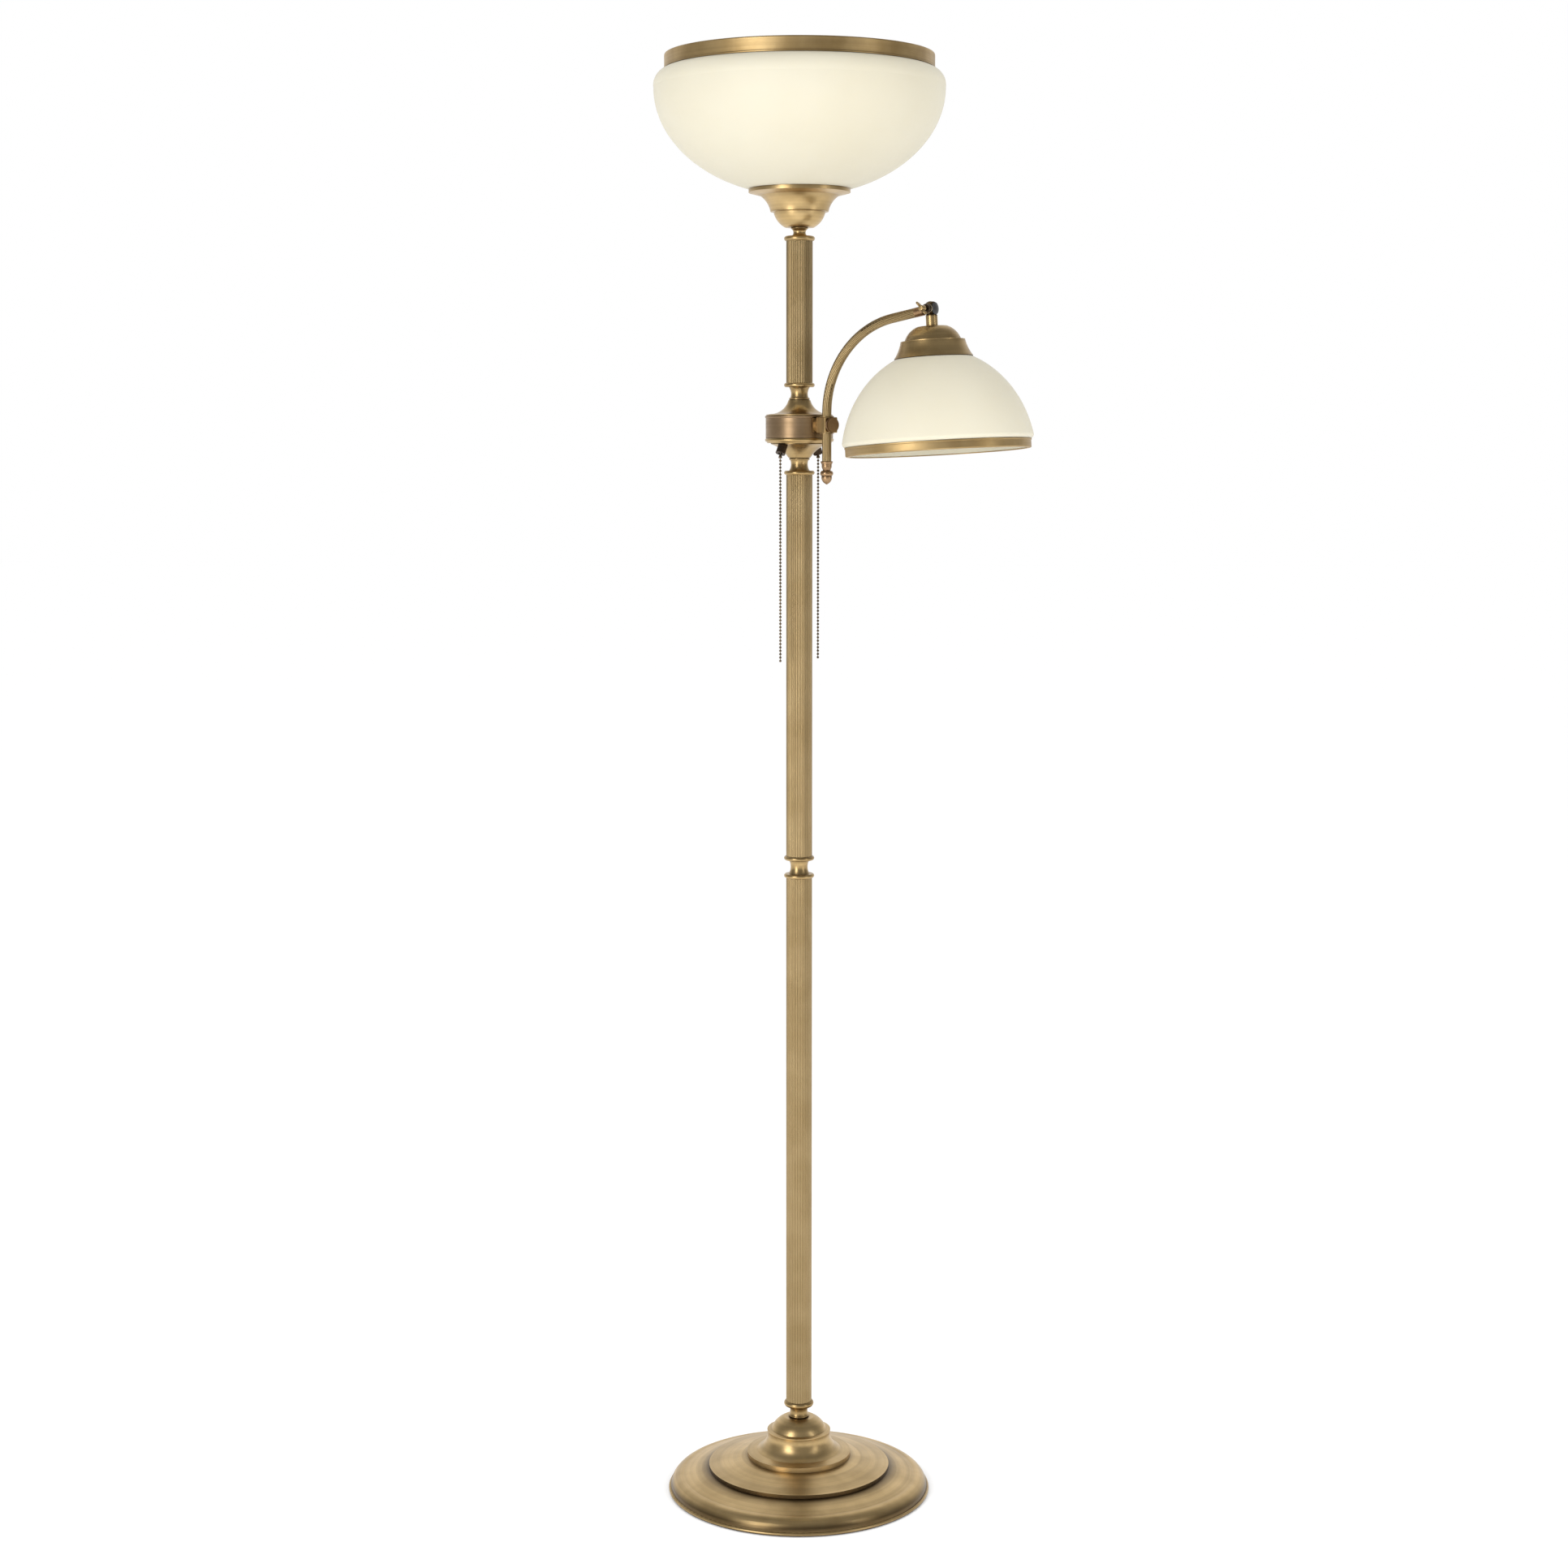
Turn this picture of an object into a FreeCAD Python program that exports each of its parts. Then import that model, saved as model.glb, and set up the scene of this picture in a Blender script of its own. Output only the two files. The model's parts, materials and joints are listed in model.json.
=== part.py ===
import FreeCAD, Part
import math
import os

# Pharmacy floor lamp: a reeded brass column on a weighted base, an opal bowl that lights upwards,
# and a lower opal shade on a curved arm that swivels, slides up and down, and tilts.
# Millimetres, +Z up. The origin is the centre of the base's underside, and +Y is the lamp's back.

V = FreeCAD.Vector
X_AXIS, Y_AXIS, Z_AXIS = V(1, 0, 0), V(0, 1, 0), V(0, 0, 1)

# Clearances
SLIP = 0.1            # radial gap where a part is pushed in or passes through
RUNNING = 0.05        # radial gap where a part turns or slides in its hole
APART = 0.3           # gap between parts that move past each other

# Spun sheet and glass
SHEET = 1.2           # wall of the cups, caps and covers
BASE_SHEET = 1.5      # wall of the base shell
GLASS = 4.0           # wall of the bowl and the lower shade

# Base
PAD_THICKNESS = 3.0
PAD_R = 140.0
FOOT_LIFT = 0.6       # the shell's rolled edge stays just off the floor
FOOT_BEAD_R = 171.8
FOOT_BEAD = 4.6       # height of the rolled edge
FOOT_BEAD_DEPTH = 2.8
SHOULDER_R = 152.0
SHOULDER_Z = 21.0
STEP_R = 118.8
STEP_LOW_Z = 29.6
STEP_HIGH_Z = 34.3
PLATEAU_R = 68.0
PLATEAU_Z = 44.5
INLET_Z = 9.5
INLET_BORE_R = 3.5
BUSHING_R = 6.0
BUSHING_LENGTH = 17.5
BUSHING_INSET = 0.5   # the bushing's outer end stays this far inside the rolled edge
WEIGHT_RIM = 10.0     # height of the weight's upright edge
WEIGHT_WALL = 30.0    # width of its outer step
WEIGHT_STEP = 15.0
WEIGHT_TOP_STEP = 21.0
WEIGHT_HUB = 27.0
CORD_GROOVE = 10.0
CORD_GROOVE_DEPTH = 8.0
NUT_WELL_R = 20.0
NUT_WELL = 11.0
WASHER = 1.5
WASHER_R = 17.0
NUT_FLATS = 17.0
LOCK_NUT = 6.0

# Column: the tie tubes pull the whole stack together
TIE_R = 5.0
TIE_BORE_R = 3.6
TIE_ENGAGEMENT = 18.0
TUBE_R = 16.8
TUBE_WALL = 1.5
REED_DEPTH = 0.45
REEDS = 48
SPIGOT = 6.0          # how far a collar reaches into its tube
LOWER_TUBE = 697.4
MIDDLE_TUBE = 490.9
UPPER_TUBE = 178.3
FLANGE_R = 19.5
FLANGE = 5.2          # height of a collar's flange
BASE_FLANGE = 7.2
TOP_FLANGE = 6.0
LOWER_COLLAR = 21.8
MIDDLE_COLLAR = 28.2
HOUSING_COLLAR = 21.6
UPPER_COLLAR = 21.5
TOP_COLLAR = 16.9
RING_R = 13.2         # small ring where a collar meets a cup or a cover
RING = 3.0
CORD_R = 2.7          # the bundle of wires inside the column

# Switch housing
DRUM_R = 42.9
DRUM_HEIGHT = 28.2
DRUM_BEAD = 3.0       # height of the bead round the drum's top edge
COVER_BEAD = 5.0      # height of the bead round the lower cover's edge
BEAD_PROUD = 0.9
LOWER_COVER_HEIGHT = 25.0
LOWER_COVER_SHELF = 18.6
UPPER_COVER_HEIGHT = 19.8
COVER_EYE_R = 14.0    # where a cover meets its collar
SPACER_R = 8.0
SPACER_WINDOW = 6.0
SPACER_WINDOW_HEIGHT = 24.0
SWITCH_AZIMUTH = 232.0
SWITCH_R = 34.0       # where a switch comes through the lower cover
SWITCH_RISE = 15.9    # and how far that is above the cover's foot
SWITCH_TILT = 27.0
SWITCH_BODY = 12.0
SWITCH_BODY_LENGTH = 19.0
SWITCH_NUT_R = 6.0
SWITCH_NUT = 12.0
SWITCH_LIP = 1.6
SWITCH_BORE_R = 3.0
SWITCH_NECK_R = 4.5
NECK_INSIDE = 4.0     # how far the neck reaches into the housing
KNURL = 0.3
TERMINAL_LENGTH = 26.0
TERMINAL_WIDTH = 11.0
TERMINAL_HEIGHT = 12.0

# Pull chains
BEAD_R = 1.6
BEAD_PITCH = 4.3
BEADS = 60
LINK_R = 0.45
PULL_BELL = 5.0
PULL_BELL_R = 2.3
PULL_WIRE_R = 0.6

# Bracket and arm
BRACKET_AZIMUTH = -56.0
BLOCK = 19.5
BLOCK_CENTRE_R = 61.0
BLOCK_DROP = 12.2     # block centre below the drum's top edge
BLOCK_EDGE = 0.8
SADDLE = 17.6
SADDLE_THICKNESS = 1.5
BOLT_R = 2.5
BOLT_HEAD = 3.0
KNOB_R = 9.5
KNOB = 4.0
KNOB_EDGE = 0.8
BUSH_R = 8.0
BUSH_FLANGE = 0.8
ARM_AZIMUTH = -34.6
ARM_R = 5.85
ARM_WALL = 1.4
ARM_REED_DEPTH = 0.4
ARM_REEDS = 18
ARM_CORD_R = 2.8
ARM_BELOW_BLOCK = 35.5
ARM_ABOVE_BLOCK = 5.0
ARM_BEND_R = 117.0
ARM_BEND_ANGLE = 79.8
ARM_REACH = 152.7     # arm's vertical stretch to the tilt pivot
FINIAL_R = 7.2

# Tilt joint
BALL_R = 9.5
BALL_SEAT = 7.5       # pivot to the ball's flat sides and the stem's top
EYE_R = 4.6
EYE = 5.0             # thickness of the eye in the ball's slot
NECK = 6.0            # height of the eye's neck
SLOT_START = -150.0   # the slot's lower edge, turned from the head's own +Z
SLOT_SWEEP = 180.0
TILT_SCREW_R = 2.5
TILT_REST = 3.7
SHANK_TO_PIVOT = 10.2 # round end of the arm's fitting, from the pivot
FERRULE = 12.0
FERRULE_R = 6.0
FERRULE_EDGE = 0.8
STEM_R = 7.2
STEM_END = 21.5       # pivot to the top of the head's cap
NIPPLE = 9.0
PLUG_X = 5.0
PLUG_GAP = 0.02
PLUG_EDGE = 1.2
PLUG = 2.8
TILT_WASHER = 1.4
TILT_WASHER_R = 6.2
TILT_NUT = 4.5
TILT_NUT_R = 5.4
WING_HUB = 8.0
WING_HUB_R = 3.6
WING = 2.2

# Spun cups: radii, and heights from the end that meets the column or the stem. hollow is how far the
# flare swings in and DOME_BOW how far the dome swings out, as shares of their chords.
DOME_BOW = 0.11
TOP_CUP = {"end_r": 18.4, "dome_r": 32.8, "dome": 18.9, "ledge_r": 36.9, "ledge": 1.4,
           "flare_r": 50.2, "brim": 8.2, "rim_r": 64.4, "rim": 4.6, "height": 48.0, "hollow": 0.10}
BASE_BELL = {"end_r": 19.4, "dome_r": 36.1, "dome": 16.4, "ledge_r": 41.6, "ledge": 2.0,
             "flare_r": 55.5, "brim": 8.4, "rim_r": 68.0, "rim": 6.4, "height": 52.5, "hollow": 0.17}
HEAD_CAP = {"end_r": 18.8, "dome_r": 34.5, "dome": 16.3, "ledge_r": 39.6, "ledge": 1.8,
            "flare_r": 48.4, "brim": 0.0, "rim_r": 48.4, "rim": 0.0, "height": 37.6, "hollow": 0.05}

# Lower shade
SHADE_R = 119.4       # half width of the glass's ellipse
SHADE_DEPTH = 135.4   # half height of the glass's ellipse
SHADE_CUT = 26.0      # the glass ends this far before the ellipse's widest point
SHADE_RING_R = 113.8
SHADE_RING = 11.2
SHADE_SHOULDER = 5.5

# Top bowl
BOWL_R = 183.8
BOWL_DEPTH = 132.4
BOWL_SHOULDER = 23.0  # height of the rounding above the widest point
BOWL_RING_R = 170.2
BOWL_RING = 18.5
RING_EDGE = 1.6       # radius of a brass ring's rounded edges
RING_HEM = 0.7        # how far a ring's hem stands out below its wall

# Lampholders and bulbs
HOLDER_R = 17.0
HOLDER_SKIRT_R = 19.5
HOLDER_LENGTH = 51.0
GALLERY_R = 27.0
GALLERY_Z = 25.5      # holder's base to the flange under the glass
GALLERY = 1.5
SOCKET_R = 13.6
SOCKET_DEPTH = 28.0
RING_NUT = 5.0
RING_NUT_GAP = 1.6    # the ring nut's cork washer
GLASS_HOLE_R = 21.0
BULB_CAP_R = 13.2
BULB_CAP = 25.0
BULB_WALL = 0.8
BULB_WAIST_R = 20.5
BULB_R = 30.0
BULB_LENGTH = 106.0

# Heights up the column
BELL_TOP_Z = PLATEAU_Z + BASE_BELL["height"]
LOWER_TUBE_Z = BELL_TOP_Z + LOWER_COLLAR
MIDDLE_COLLAR_Z = LOWER_TUBE_Z + LOWER_TUBE
MIDDLE_TUBE_Z = MIDDLE_COLLAR_Z + MIDDLE_COLLAR
HOUSING_COLLAR_Z = MIDDLE_TUBE_Z + MIDDLE_TUBE
LOWER_COVER_Z = HOUSING_COLLAR_Z + HOUSING_COLLAR
DRUM_Z = LOWER_COVER_Z + LOWER_COVER_HEIGHT
DRUM_TOP_Z = DRUM_Z + DRUM_HEIGHT
UPPER_COLLAR_Z = DRUM_TOP_Z + UPPER_COVER_HEIGHT
UPPER_TUBE_Z = UPPER_COLLAR_Z + UPPER_COLLAR
TOP_COLLAR_Z = UPPER_TUBE_Z + UPPER_TUBE
CUP_Z = TOP_COLLAR_Z + TOP_COLLAR
CUP_RIM_Z = CUP_Z + TOP_CUP["height"]
SPACER_LOW_Z = LOWER_COVER_Z + SHEET
SPACER_HIGH_Z = UPPER_COLLAR_Z - SHEET

# The bowl sits on the cup's rim, and its lampholder's flange comes up under the hole in the glass
BOWL_SEAT_R = TOP_CUP["rim_r"] - SHEET
BOWL_Z = CUP_RIM_Z + BOWL_DEPTH * math.sqrt(1 - (BOWL_SEAT_R / BOWL_R) ** 2)
BOWL_HOLE_Z = BOWL_Z - BOWL_DEPTH * math.sqrt(1 - (GLASS_HOLE_R / BOWL_R) ** 2)
TOP_HOLDER_Z = BOWL_HOLE_Z - GALLERY_Z - GALLERY

# The same for the lower shade, as depths below the tilt pivot
SHADE_SEAT = STEM_END + HEAD_CAP["height"] + SHEET
SHADE_Z = SHADE_SEAT + SHADE_DEPTH * math.sqrt(1 - (HEAD_CAP["rim_r"] / SHADE_R) ** 2)
SHADE_HOLE_Z = SHADE_Z - SHADE_DEPTH * math.sqrt(1 - (GLASS_HOLE_R / SHADE_R) ** 2)
HEAD_HOLDER_Z = SHADE_HOLE_Z - GALLERY_Z - GALLERY
BULB_SEAT = HOLDER_LENGTH - BULB_CAP + APART

# Switches and chains
SWITCH_AZIMUTHS = (SWITCH_AZIMUTH, SWITCH_AZIMUTH - 180)
SWITCH_Z = LOWER_COVER_Z + SWITCH_RISE
SWITCH_SLOPE = math.radians(SWITCH_TILT)
NECK_END = SWITCH_NUT - 4.0
CHAIN_R = SWITCH_R + SWITCH_NUT * math.sin(SWITCH_SLOPE)
CHAIN_TOP_Z = SWITCH_Z - SWITCH_NUT * math.cos(SWITCH_SLOPE)
PULL_LOW_Z = CHAIN_TOP_Z - 1.0 - PULL_BELL

# Bracket: distances out from the column's axis
SADDLE_R = DRUM_R + SADDLE_THICKNESS
BLOCK_IN_X = BLOCK_CENTRE_R - BLOCK / 2
BLOCK_OUT_X = BLOCK_CENTRE_R + BLOCK / 2
BOLT_HEAD_X = math.sqrt((DRUM_R - SHEET) ** 2 - (2 * BOLT_R) ** 2) - BOLT_HEAD
BOLT_END_X = BLOCK_CENTRE_R - BUSH_R - 0.5

# Where the arm stands and where the head tilts
BLOCK_Z = DRUM_TOP_Z - BLOCK_DROP
BRACKET_TURN = math.radians(BRACKET_AZIMUTH)
ARM_X = BLOCK_CENTRE_R * math.cos(BRACKET_TURN)
ARM_Y = BLOCK_CENTRE_R * math.sin(BRACKET_TURN)
BLOCK_LOW_Z = BLOCK_Z - BLOCK / 2
BLOCK_HIGH_Z = BLOCK_Z + BLOCK / 2
ARM_LOW_Z = BLOCK_LOW_Z - ARM_BELOW_BLOCK
BEND_Z = BLOCK_HIGH_Z + ARM_ABOVE_BLOCK
BEND = math.radians(ARM_BEND_ANGLE)
BEND_END_X = ARM_BEND_R * (1 - math.cos(BEND))
BEND_END_Z = BEND_Z + ARM_BEND_R * math.sin(BEND)
ARM_STRAIGHT = (ARM_REACH - BEND_END_X) / math.sin(BEND)
PIVOT_Z = BEND_END_Z + ARM_STRAIGHT * math.cos(BEND)
FERRULE_END = SHANK_TO_PIVOT + FERRULE
TUBE_END = ARM_STRAIGHT - FERRULE_END


def at(radius, z):
    return V(radius, 0, z)


def outline(start, *steps):
    """A wire in the XZ plane: a step is (r, z) for a line, or (middle, end) for an arc."""
    edges = []
    here = at(*start)
    for step in steps:
        if isinstance(step[0], tuple):
            middle, end = at(*step[0]), at(*step[1])
            edges.append(Part.Arc(here, middle, end).toShape())
        else:
            end = at(*step)
            edges.append(Part.makeLine(here, end))
        here = end
    return Part.Wire(edges)


def dome(radius, edge_z, top_z):
    """The arc step of a round cap, from its edge at this radius to its top on the axis."""
    rise = top_z - edge_z
    sphere = (radius ** 2 + rise ** 2) / (2 * abs(rise))
    half = math.asin(radius / sphere) / 2
    drop = math.copysign(sphere * (1 - math.cos(half)), rise)
    return (sphere * math.sin(half), top_z - drop), (0, top_z)


def bowed(start, end, bow):
    """The arc step from start to end that swings out to the right of it by a share of its chord."""
    along_r, along_z = end[0] - start[0], end[1] - start[1]
    middle = ((start[0] + end[0]) / 2 + bow * along_z, (start[1] + end[1]) / 2 - bow * along_r)
    return middle, end


def turned(start, *steps):
    """A solid of revolution about Z, from a closed outline."""
    face = Part.Face(outline(start, *steps, start))
    return face.revolve(V(), Z_AXIS, 360)


def filled(wire):
    """The solid of revolution inside a wire that runs from the bottom to the top."""
    low, high = wire.OrderedVertexes[0].Point, wire.OrderedVertexes[-1].Point
    closing = [Part.makeLine(high, at(0, high.z)), Part.makeLine(at(0, high.z), at(0, low.z)),
               Part.makeLine(at(0, low.z), low)]
    return Part.Face(Part.Wire(wire.Edges + closing)).revolve(V(), Z_AXIS, 360)


def spun(wire, wall):
    """A sheet of one thickness, spun about Z; the metal lies to the left of the way the wire runs."""
    sheet = wire.makeOffset2D(wall, join=2, fill=True, openResult=True)
    return sheet.Faces[0].revolve(V(), Z_AXIS, 360)


def rod(radius, low, high):
    return Part.makeCylinder(radius, high - low, V(0, 0, low))


def tube(radius, bore, low, high):
    return rod(radius, low, high).cut(rod(bore, low, high))


def x_rod(radius, low, high):
    return Part.makeCylinder(radius, high - low, V(low, 0, 0), X_AXIS)


def y_rod(radius, low, high):
    return Part.makeCylinder(radius, high - low, V(0, low, 0), Y_AXIS)


def centred_box(x, y, z):
    return Part.makeBox(x, y, z, V(-x / 2, -y / 2, -z / 2))


def placed(shape, position, *turns):
    """Turns the shape by each (axis, degrees) in order, then moves it from the origin to position."""
    result = shape.copy()
    for axis, angle in turns:
        result.rotate(V(), axis, angle)
    result.translate(position)
    return result


def lifted(shape, z):
    return placed(shape, V(0, 0, z))


def turned_over(shape):
    return placed(shape, V(), (X_AXIS, 180))


def scalloped(radius, depth, count):
    """The outline of a reeded tube: rounded reeds that meet in narrow valleys."""
    step = 2 * math.pi / count
    edges = []
    for i in range(count):
        low = V((radius - depth) * math.cos(i * step), (radius - depth) * math.sin(i * step), 0)
        high = V((radius - depth) * math.cos((i + 1) * step), (radius - depth) * math.sin((i + 1) * step), 0)
        crest = V(radius * math.cos((i + 0.5) * step), radius * math.sin((i + 0.5) * step), 0)
        edges.append(Part.Arc(low, crest, high).toShape())
    return Part.Wire(edges)


def reeded_section(radius, depth, count, bore):
    hole = Part.Face(Part.Wire(Part.makeCircle(bore)))
    return Part.Face(scalloped(radius, depth, count)).cut(hole).Faces[0]


# ---- Base ----

def base_pad():
    return rod(PAD_R, 0, PAD_THICKNESS)


def base_weight():
    """Cast disc that fills the base's middle; its top carries the shell and the column."""
    low = PAD_THICKNESS
    top = PLATEAU_Z - BASE_SHEET
    step_r = PAD_R - WEIGHT_WALL
    hub_r = PLATEAU_R - NUT_WELL / 2
    body = turned((0, low), (PAD_R, low), (PAD_R, low + WEIGHT_RIM), (step_r, low + WEIGHT_STEP),
                  (step_r, low + WEIGHT_TOP_STEP), (hub_r, low + WEIGHT_HUB), (hub_r, top), (0, top))
    bolt_hole = rod(TIE_R + SLIP, low, top)
    nut_well = rod(NUT_WELL_R, low, low + NUT_WELL)
    groove = Part.makeBox(CORD_GROOVE, PAD_R, CORD_GROOVE_DEPTH, V(-CORD_GROOVE / 2, 0, low))
    return body.cut([bolt_hole, nut_well, groove])


def base_washer():
    top = PAD_THICKNESS + NUT_WELL
    return tube(WASHER_R, TIE_R + SLIP, top - WASHER, top)


def hex_nut(across_flats, height, bore):
    corner = across_flats / math.sqrt(3)
    corners = [V(corner * math.cos(math.radians(60 * i)), corner * math.sin(math.radians(60 * i)), 0)
               for i in range(7)]
    return Part.Face(Part.makePolygon(corners)).extrude(V(0, 0, height)).cut(rod(bore, 0, height))


def base_lock_nut():
    return lifted(hex_nut(NUT_FLATS, LOCK_NUT, TIE_R), PAD_THICKNESS + NUT_WELL - WASHER - LOCK_NUT)


def base_shell():
    """Spun dish: low cone, step, gentle slope, round shoulder and a rolled edge."""
    bead_r = FOOT_BEAD_R - FOOT_BEAD_DEPTH
    bead_top = FOOT_LIFT + FOOT_BEAD
    profile = outline(
        (bead_r, FOOT_LIFT),
        ((FOOT_BEAD_R, FOOT_LIFT + FOOT_BEAD / 2), (bead_r, bead_top)),
        bowed((bead_r, bead_top), (SHOULDER_R, SHOULDER_Z), 0.21),
        (STEP_R, STEP_LOW_Z),
        (STEP_R, STEP_HIGH_Z),
        (PLATEAU_R, PLATEAU_Z),
        (TIE_R + SLIP, PLATEAU_Z))
    inlet = placed(y_rod(BUSHING_R + SLIP, 0, FOOT_BEAD_R), V(0, 0, INLET_Z))
    return spun(profile, BASE_SHEET).cut(inlet)


def cord_bushing():
    """Hard bush in the back of the base, where a mains cord goes in."""
    inner_end = FOOT_BEAD_R - BUSHING_INSET - BUSHING_LENGTH
    body = y_rod(BUSHING_R, inner_end, inner_end + BUSHING_LENGTH)
    bore = y_rod(INLET_BORE_R, inner_end, inner_end + BUSHING_LENGTH)
    return placed(body.cut(bore), V(0, 0, INLET_Z))


# ---- Spun cups: the bell on the base, the cup under the bowl and the cap on the shade ----

def cup(end_r, dome_r, dome, ledge_r, ledge, flare_r, brim, rim_r, rim, height, hollow):
    """A cup that opens upwards: dome, ledge, hollow flare, and a brim with an upright rim if it has one."""
    ledge_z = dome + ledge
    flare_z = height - brim
    steps = [
        (end_r, 0),
        bowed((end_r, 0), (dome_r, dome), DOME_BOW),
        (ledge_r, dome + ledge / 2),
        (ledge_r, ledge_z),
        bowed((ledge_r, ledge_z), (flare_r, flare_z), -hollow)]
    if rim:
        steps += [(rim_r, height - rim), (rim_r, height)]
    return spun(outline((TIE_R + SLIP, 0), *steps), SHEET)


def base_bell():
    return lifted(turned_over(cup(**BASE_BELL)), BELL_TOP_Z)


def top_cup():
    return lifted(cup(**TOP_CUP), CUP_Z)


# ---- Column ----

def collar(low_r, low_flange, neck_low_r, neck_r, neck_high_r, high_r, high_flange, height,
           low_spigot=0, high_spigot=0):
    """A turned collar with a waist between two round flanges, and spigots for the tubes it joins."""
    bore = TIE_R + SLIP
    spigot_r = TUBE_R - TUBE_WALL - SLIP
    high_z = height - high_flange
    steps = []
    if low_spigot:
        steps += [(spigot_r, -low_spigot), (spigot_r, 0)]
    steps += [
        (low_r - low_flange / 3, 0),
        ((low_r, low_flange / 2), (low_r - low_flange / 3, low_flange)),
        (neck_low_r, low_flange),
        ((neck_r, (low_flange + high_z) / 2), (neck_high_r, high_z)),
        (high_r - high_flange / 3, high_z),
        ((high_r, high_z + high_flange / 2), (high_r - high_flange / 3, height))]
    if high_spigot:
        steps += [(spigot_r, height), (spigot_r, height + high_spigot)]
    steps.append((bore, height + high_spigot))
    return turned((bore, -low_spigot), *steps)


def lower_collar():
    body = collar(RING_R, RING, 12.4, 11.6, 13.4, FLANGE_R, BASE_FLANGE, LOWER_COLLAR, 0, SPIGOT)
    return lifted(body, BELL_TOP_Z)


def middle_collar():
    body = collar(FLANGE_R, FLANGE, 13.4, 11.0, 13.4, FLANGE_R, FLANGE, MIDDLE_COLLAR, SPIGOT, SPIGOT)
    return lifted(body, MIDDLE_COLLAR_Z)


def housing_lower_collar():
    body = collar(FLANGE_R, FLANGE, 13.2, 10.8, 11.6, RING_R, RING, HOUSING_COLLAR, SPIGOT, 0)
    return lifted(body, HOUSING_COLLAR_Z)


def housing_upper_collar():
    body = collar(RING_R, RING, 11.6, 10.8, 13.4, FLANGE_R, FLANGE, UPPER_COLLAR, 0, SPIGOT)
    return lifted(body, UPPER_COLLAR_Z)


def top_collar():
    body = collar(FLANGE_R, TOP_FLANGE, 10.9, 7.8, 10.4, 10.9, 2.0, TOP_COLLAR, SPIGOT, 0)
    return lifted(body, TOP_COLLAR_Z)


def reeded_tube(length, z):
    section = reeded_section(TUBE_R, REED_DEPTH, REEDS, TUBE_R - TUBE_WALL)
    return lifted(section.extrude(V(0, 0, length)), z)


def tie_tube_lower():
    return tube(TIE_R, TIE_BORE_R, PAD_THICKNESS + APART, SPACER_LOW_Z + TIE_ENGAGEMENT)


def tie_tube_upper():
    return tube(TIE_R, TIE_BORE_R, SPACER_HIGH_Z - TIE_ENGAGEMENT, TOP_HOLDER_Z + NIPPLE)


# ---- Switch housing ----

def housing_spacer():
    """Sleeve that the two tie tubes screw into, with a window for the wires."""
    body = tube(SPACER_R, TIE_R, SPACER_LOW_Z, SPACER_HIGH_Z)
    middle = (SPACER_LOW_Z + SPACER_HIGH_Z) / 2
    window = placed(centred_box(3 * SPACER_R, SPACER_WINDOW, SPACER_WINDOW_HEIGHT), V(0, 0, middle),
                    (Z_AXIS, BRACKET_AZIMUTH))
    return body.cut(window)


def lower_cover_outline():
    shelf_r = DRUM_R - 6.4
    bead_z = LOWER_COVER_HEIGHT - COVER_BEAD
    edge_r = DRUM_R - 1.2
    return outline(
        (TIE_R + SLIP, 0),
        (COVER_EYE_R, 0),
        ((COVER_EYE_R + 10.5, 0.6 * LOWER_COVER_SHELF), (shelf_r, LOWER_COVER_SHELF - 1.3)),
        (shelf_r, LOWER_COVER_SHELF),
        (DRUM_R - 2.2, LOWER_COVER_SHELF),
        (edge_r, bead_z),
        ((DRUM_R + BEAD_PROUD, bead_z + COVER_BEAD / 2), (edge_r, LOWER_COVER_HEIGHT)))


def housing_lower_cover():
    cover = lifted(spun(lower_cover_outline(), SHEET), LOWER_COVER_Z)
    holes = [at_switch(rod(SWITCH_NECK_R + SLIP, -8, 4), azimuth) for azimuth in SWITCH_AZIMUTHS]
    return cover.cut(holes)


def housing_drum():
    inner_r = DRUM_R - SHEET
    bead_z = DRUM_HEIGHT - DRUM_BEAD
    body = turned((inner_r, 0), (DRUM_R, 0), (DRUM_R, bead_z),
                  ((DRUM_R + BEAD_PROUD, bead_z + DRUM_BEAD / 2), (DRUM_R, DRUM_HEIGHT)),
                  (inner_r, DRUM_HEIGHT))
    return lifted(body, DRUM_Z).cut(at_bracket(x_rod(BOLT_R + SLIP, 0, DRUM_R + SADDLE)))


def housing_upper_cover():
    foot = (DRUM_R - 5.9, 2.2)
    eye = (COVER_EYE_R, UPPER_COVER_HEIGHT)
    hole = (TIE_R + SLIP, UPPER_COVER_HEIGHT)
    profile = outline((DRUM_R - 0.5, SHEET), foot, bowed(foot, eye, -0.17), hole)
    return lifted(spun(profile, SHEET), DRUM_TOP_Z)


def at_switch(shape, azimuth):
    """From a frame whose +Z runs out of the switch's neck to the switch's place on the lower cover."""
    tilted = placed(shape, V(SWITCH_R, 0, SWITCH_Z), (Y_AXIS, 180 - SWITCH_TILT))
    return placed(tilted, V(), (Z_AXIS, azimuth))


def switch(azimuth):
    """Pull switch: a block inside the housing, and a threaded neck through the cover."""
    block = centred_box(SWITCH_BODY, SWITCH_BODY, SWITCH_BODY_LENGTH)
    block.translate(V(0, 0, -NECK_INSIDE - SWITCH_BODY_LENGTH / 2))
    neck = rod(SWITCH_NECK_R, -NECK_INSIDE, NECK_END)
    return at_switch(block.fuse(neck).cut(rod(SWITCH_BORE_R, -NECK_INSIDE, NECK_END)), azimuth)


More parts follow.
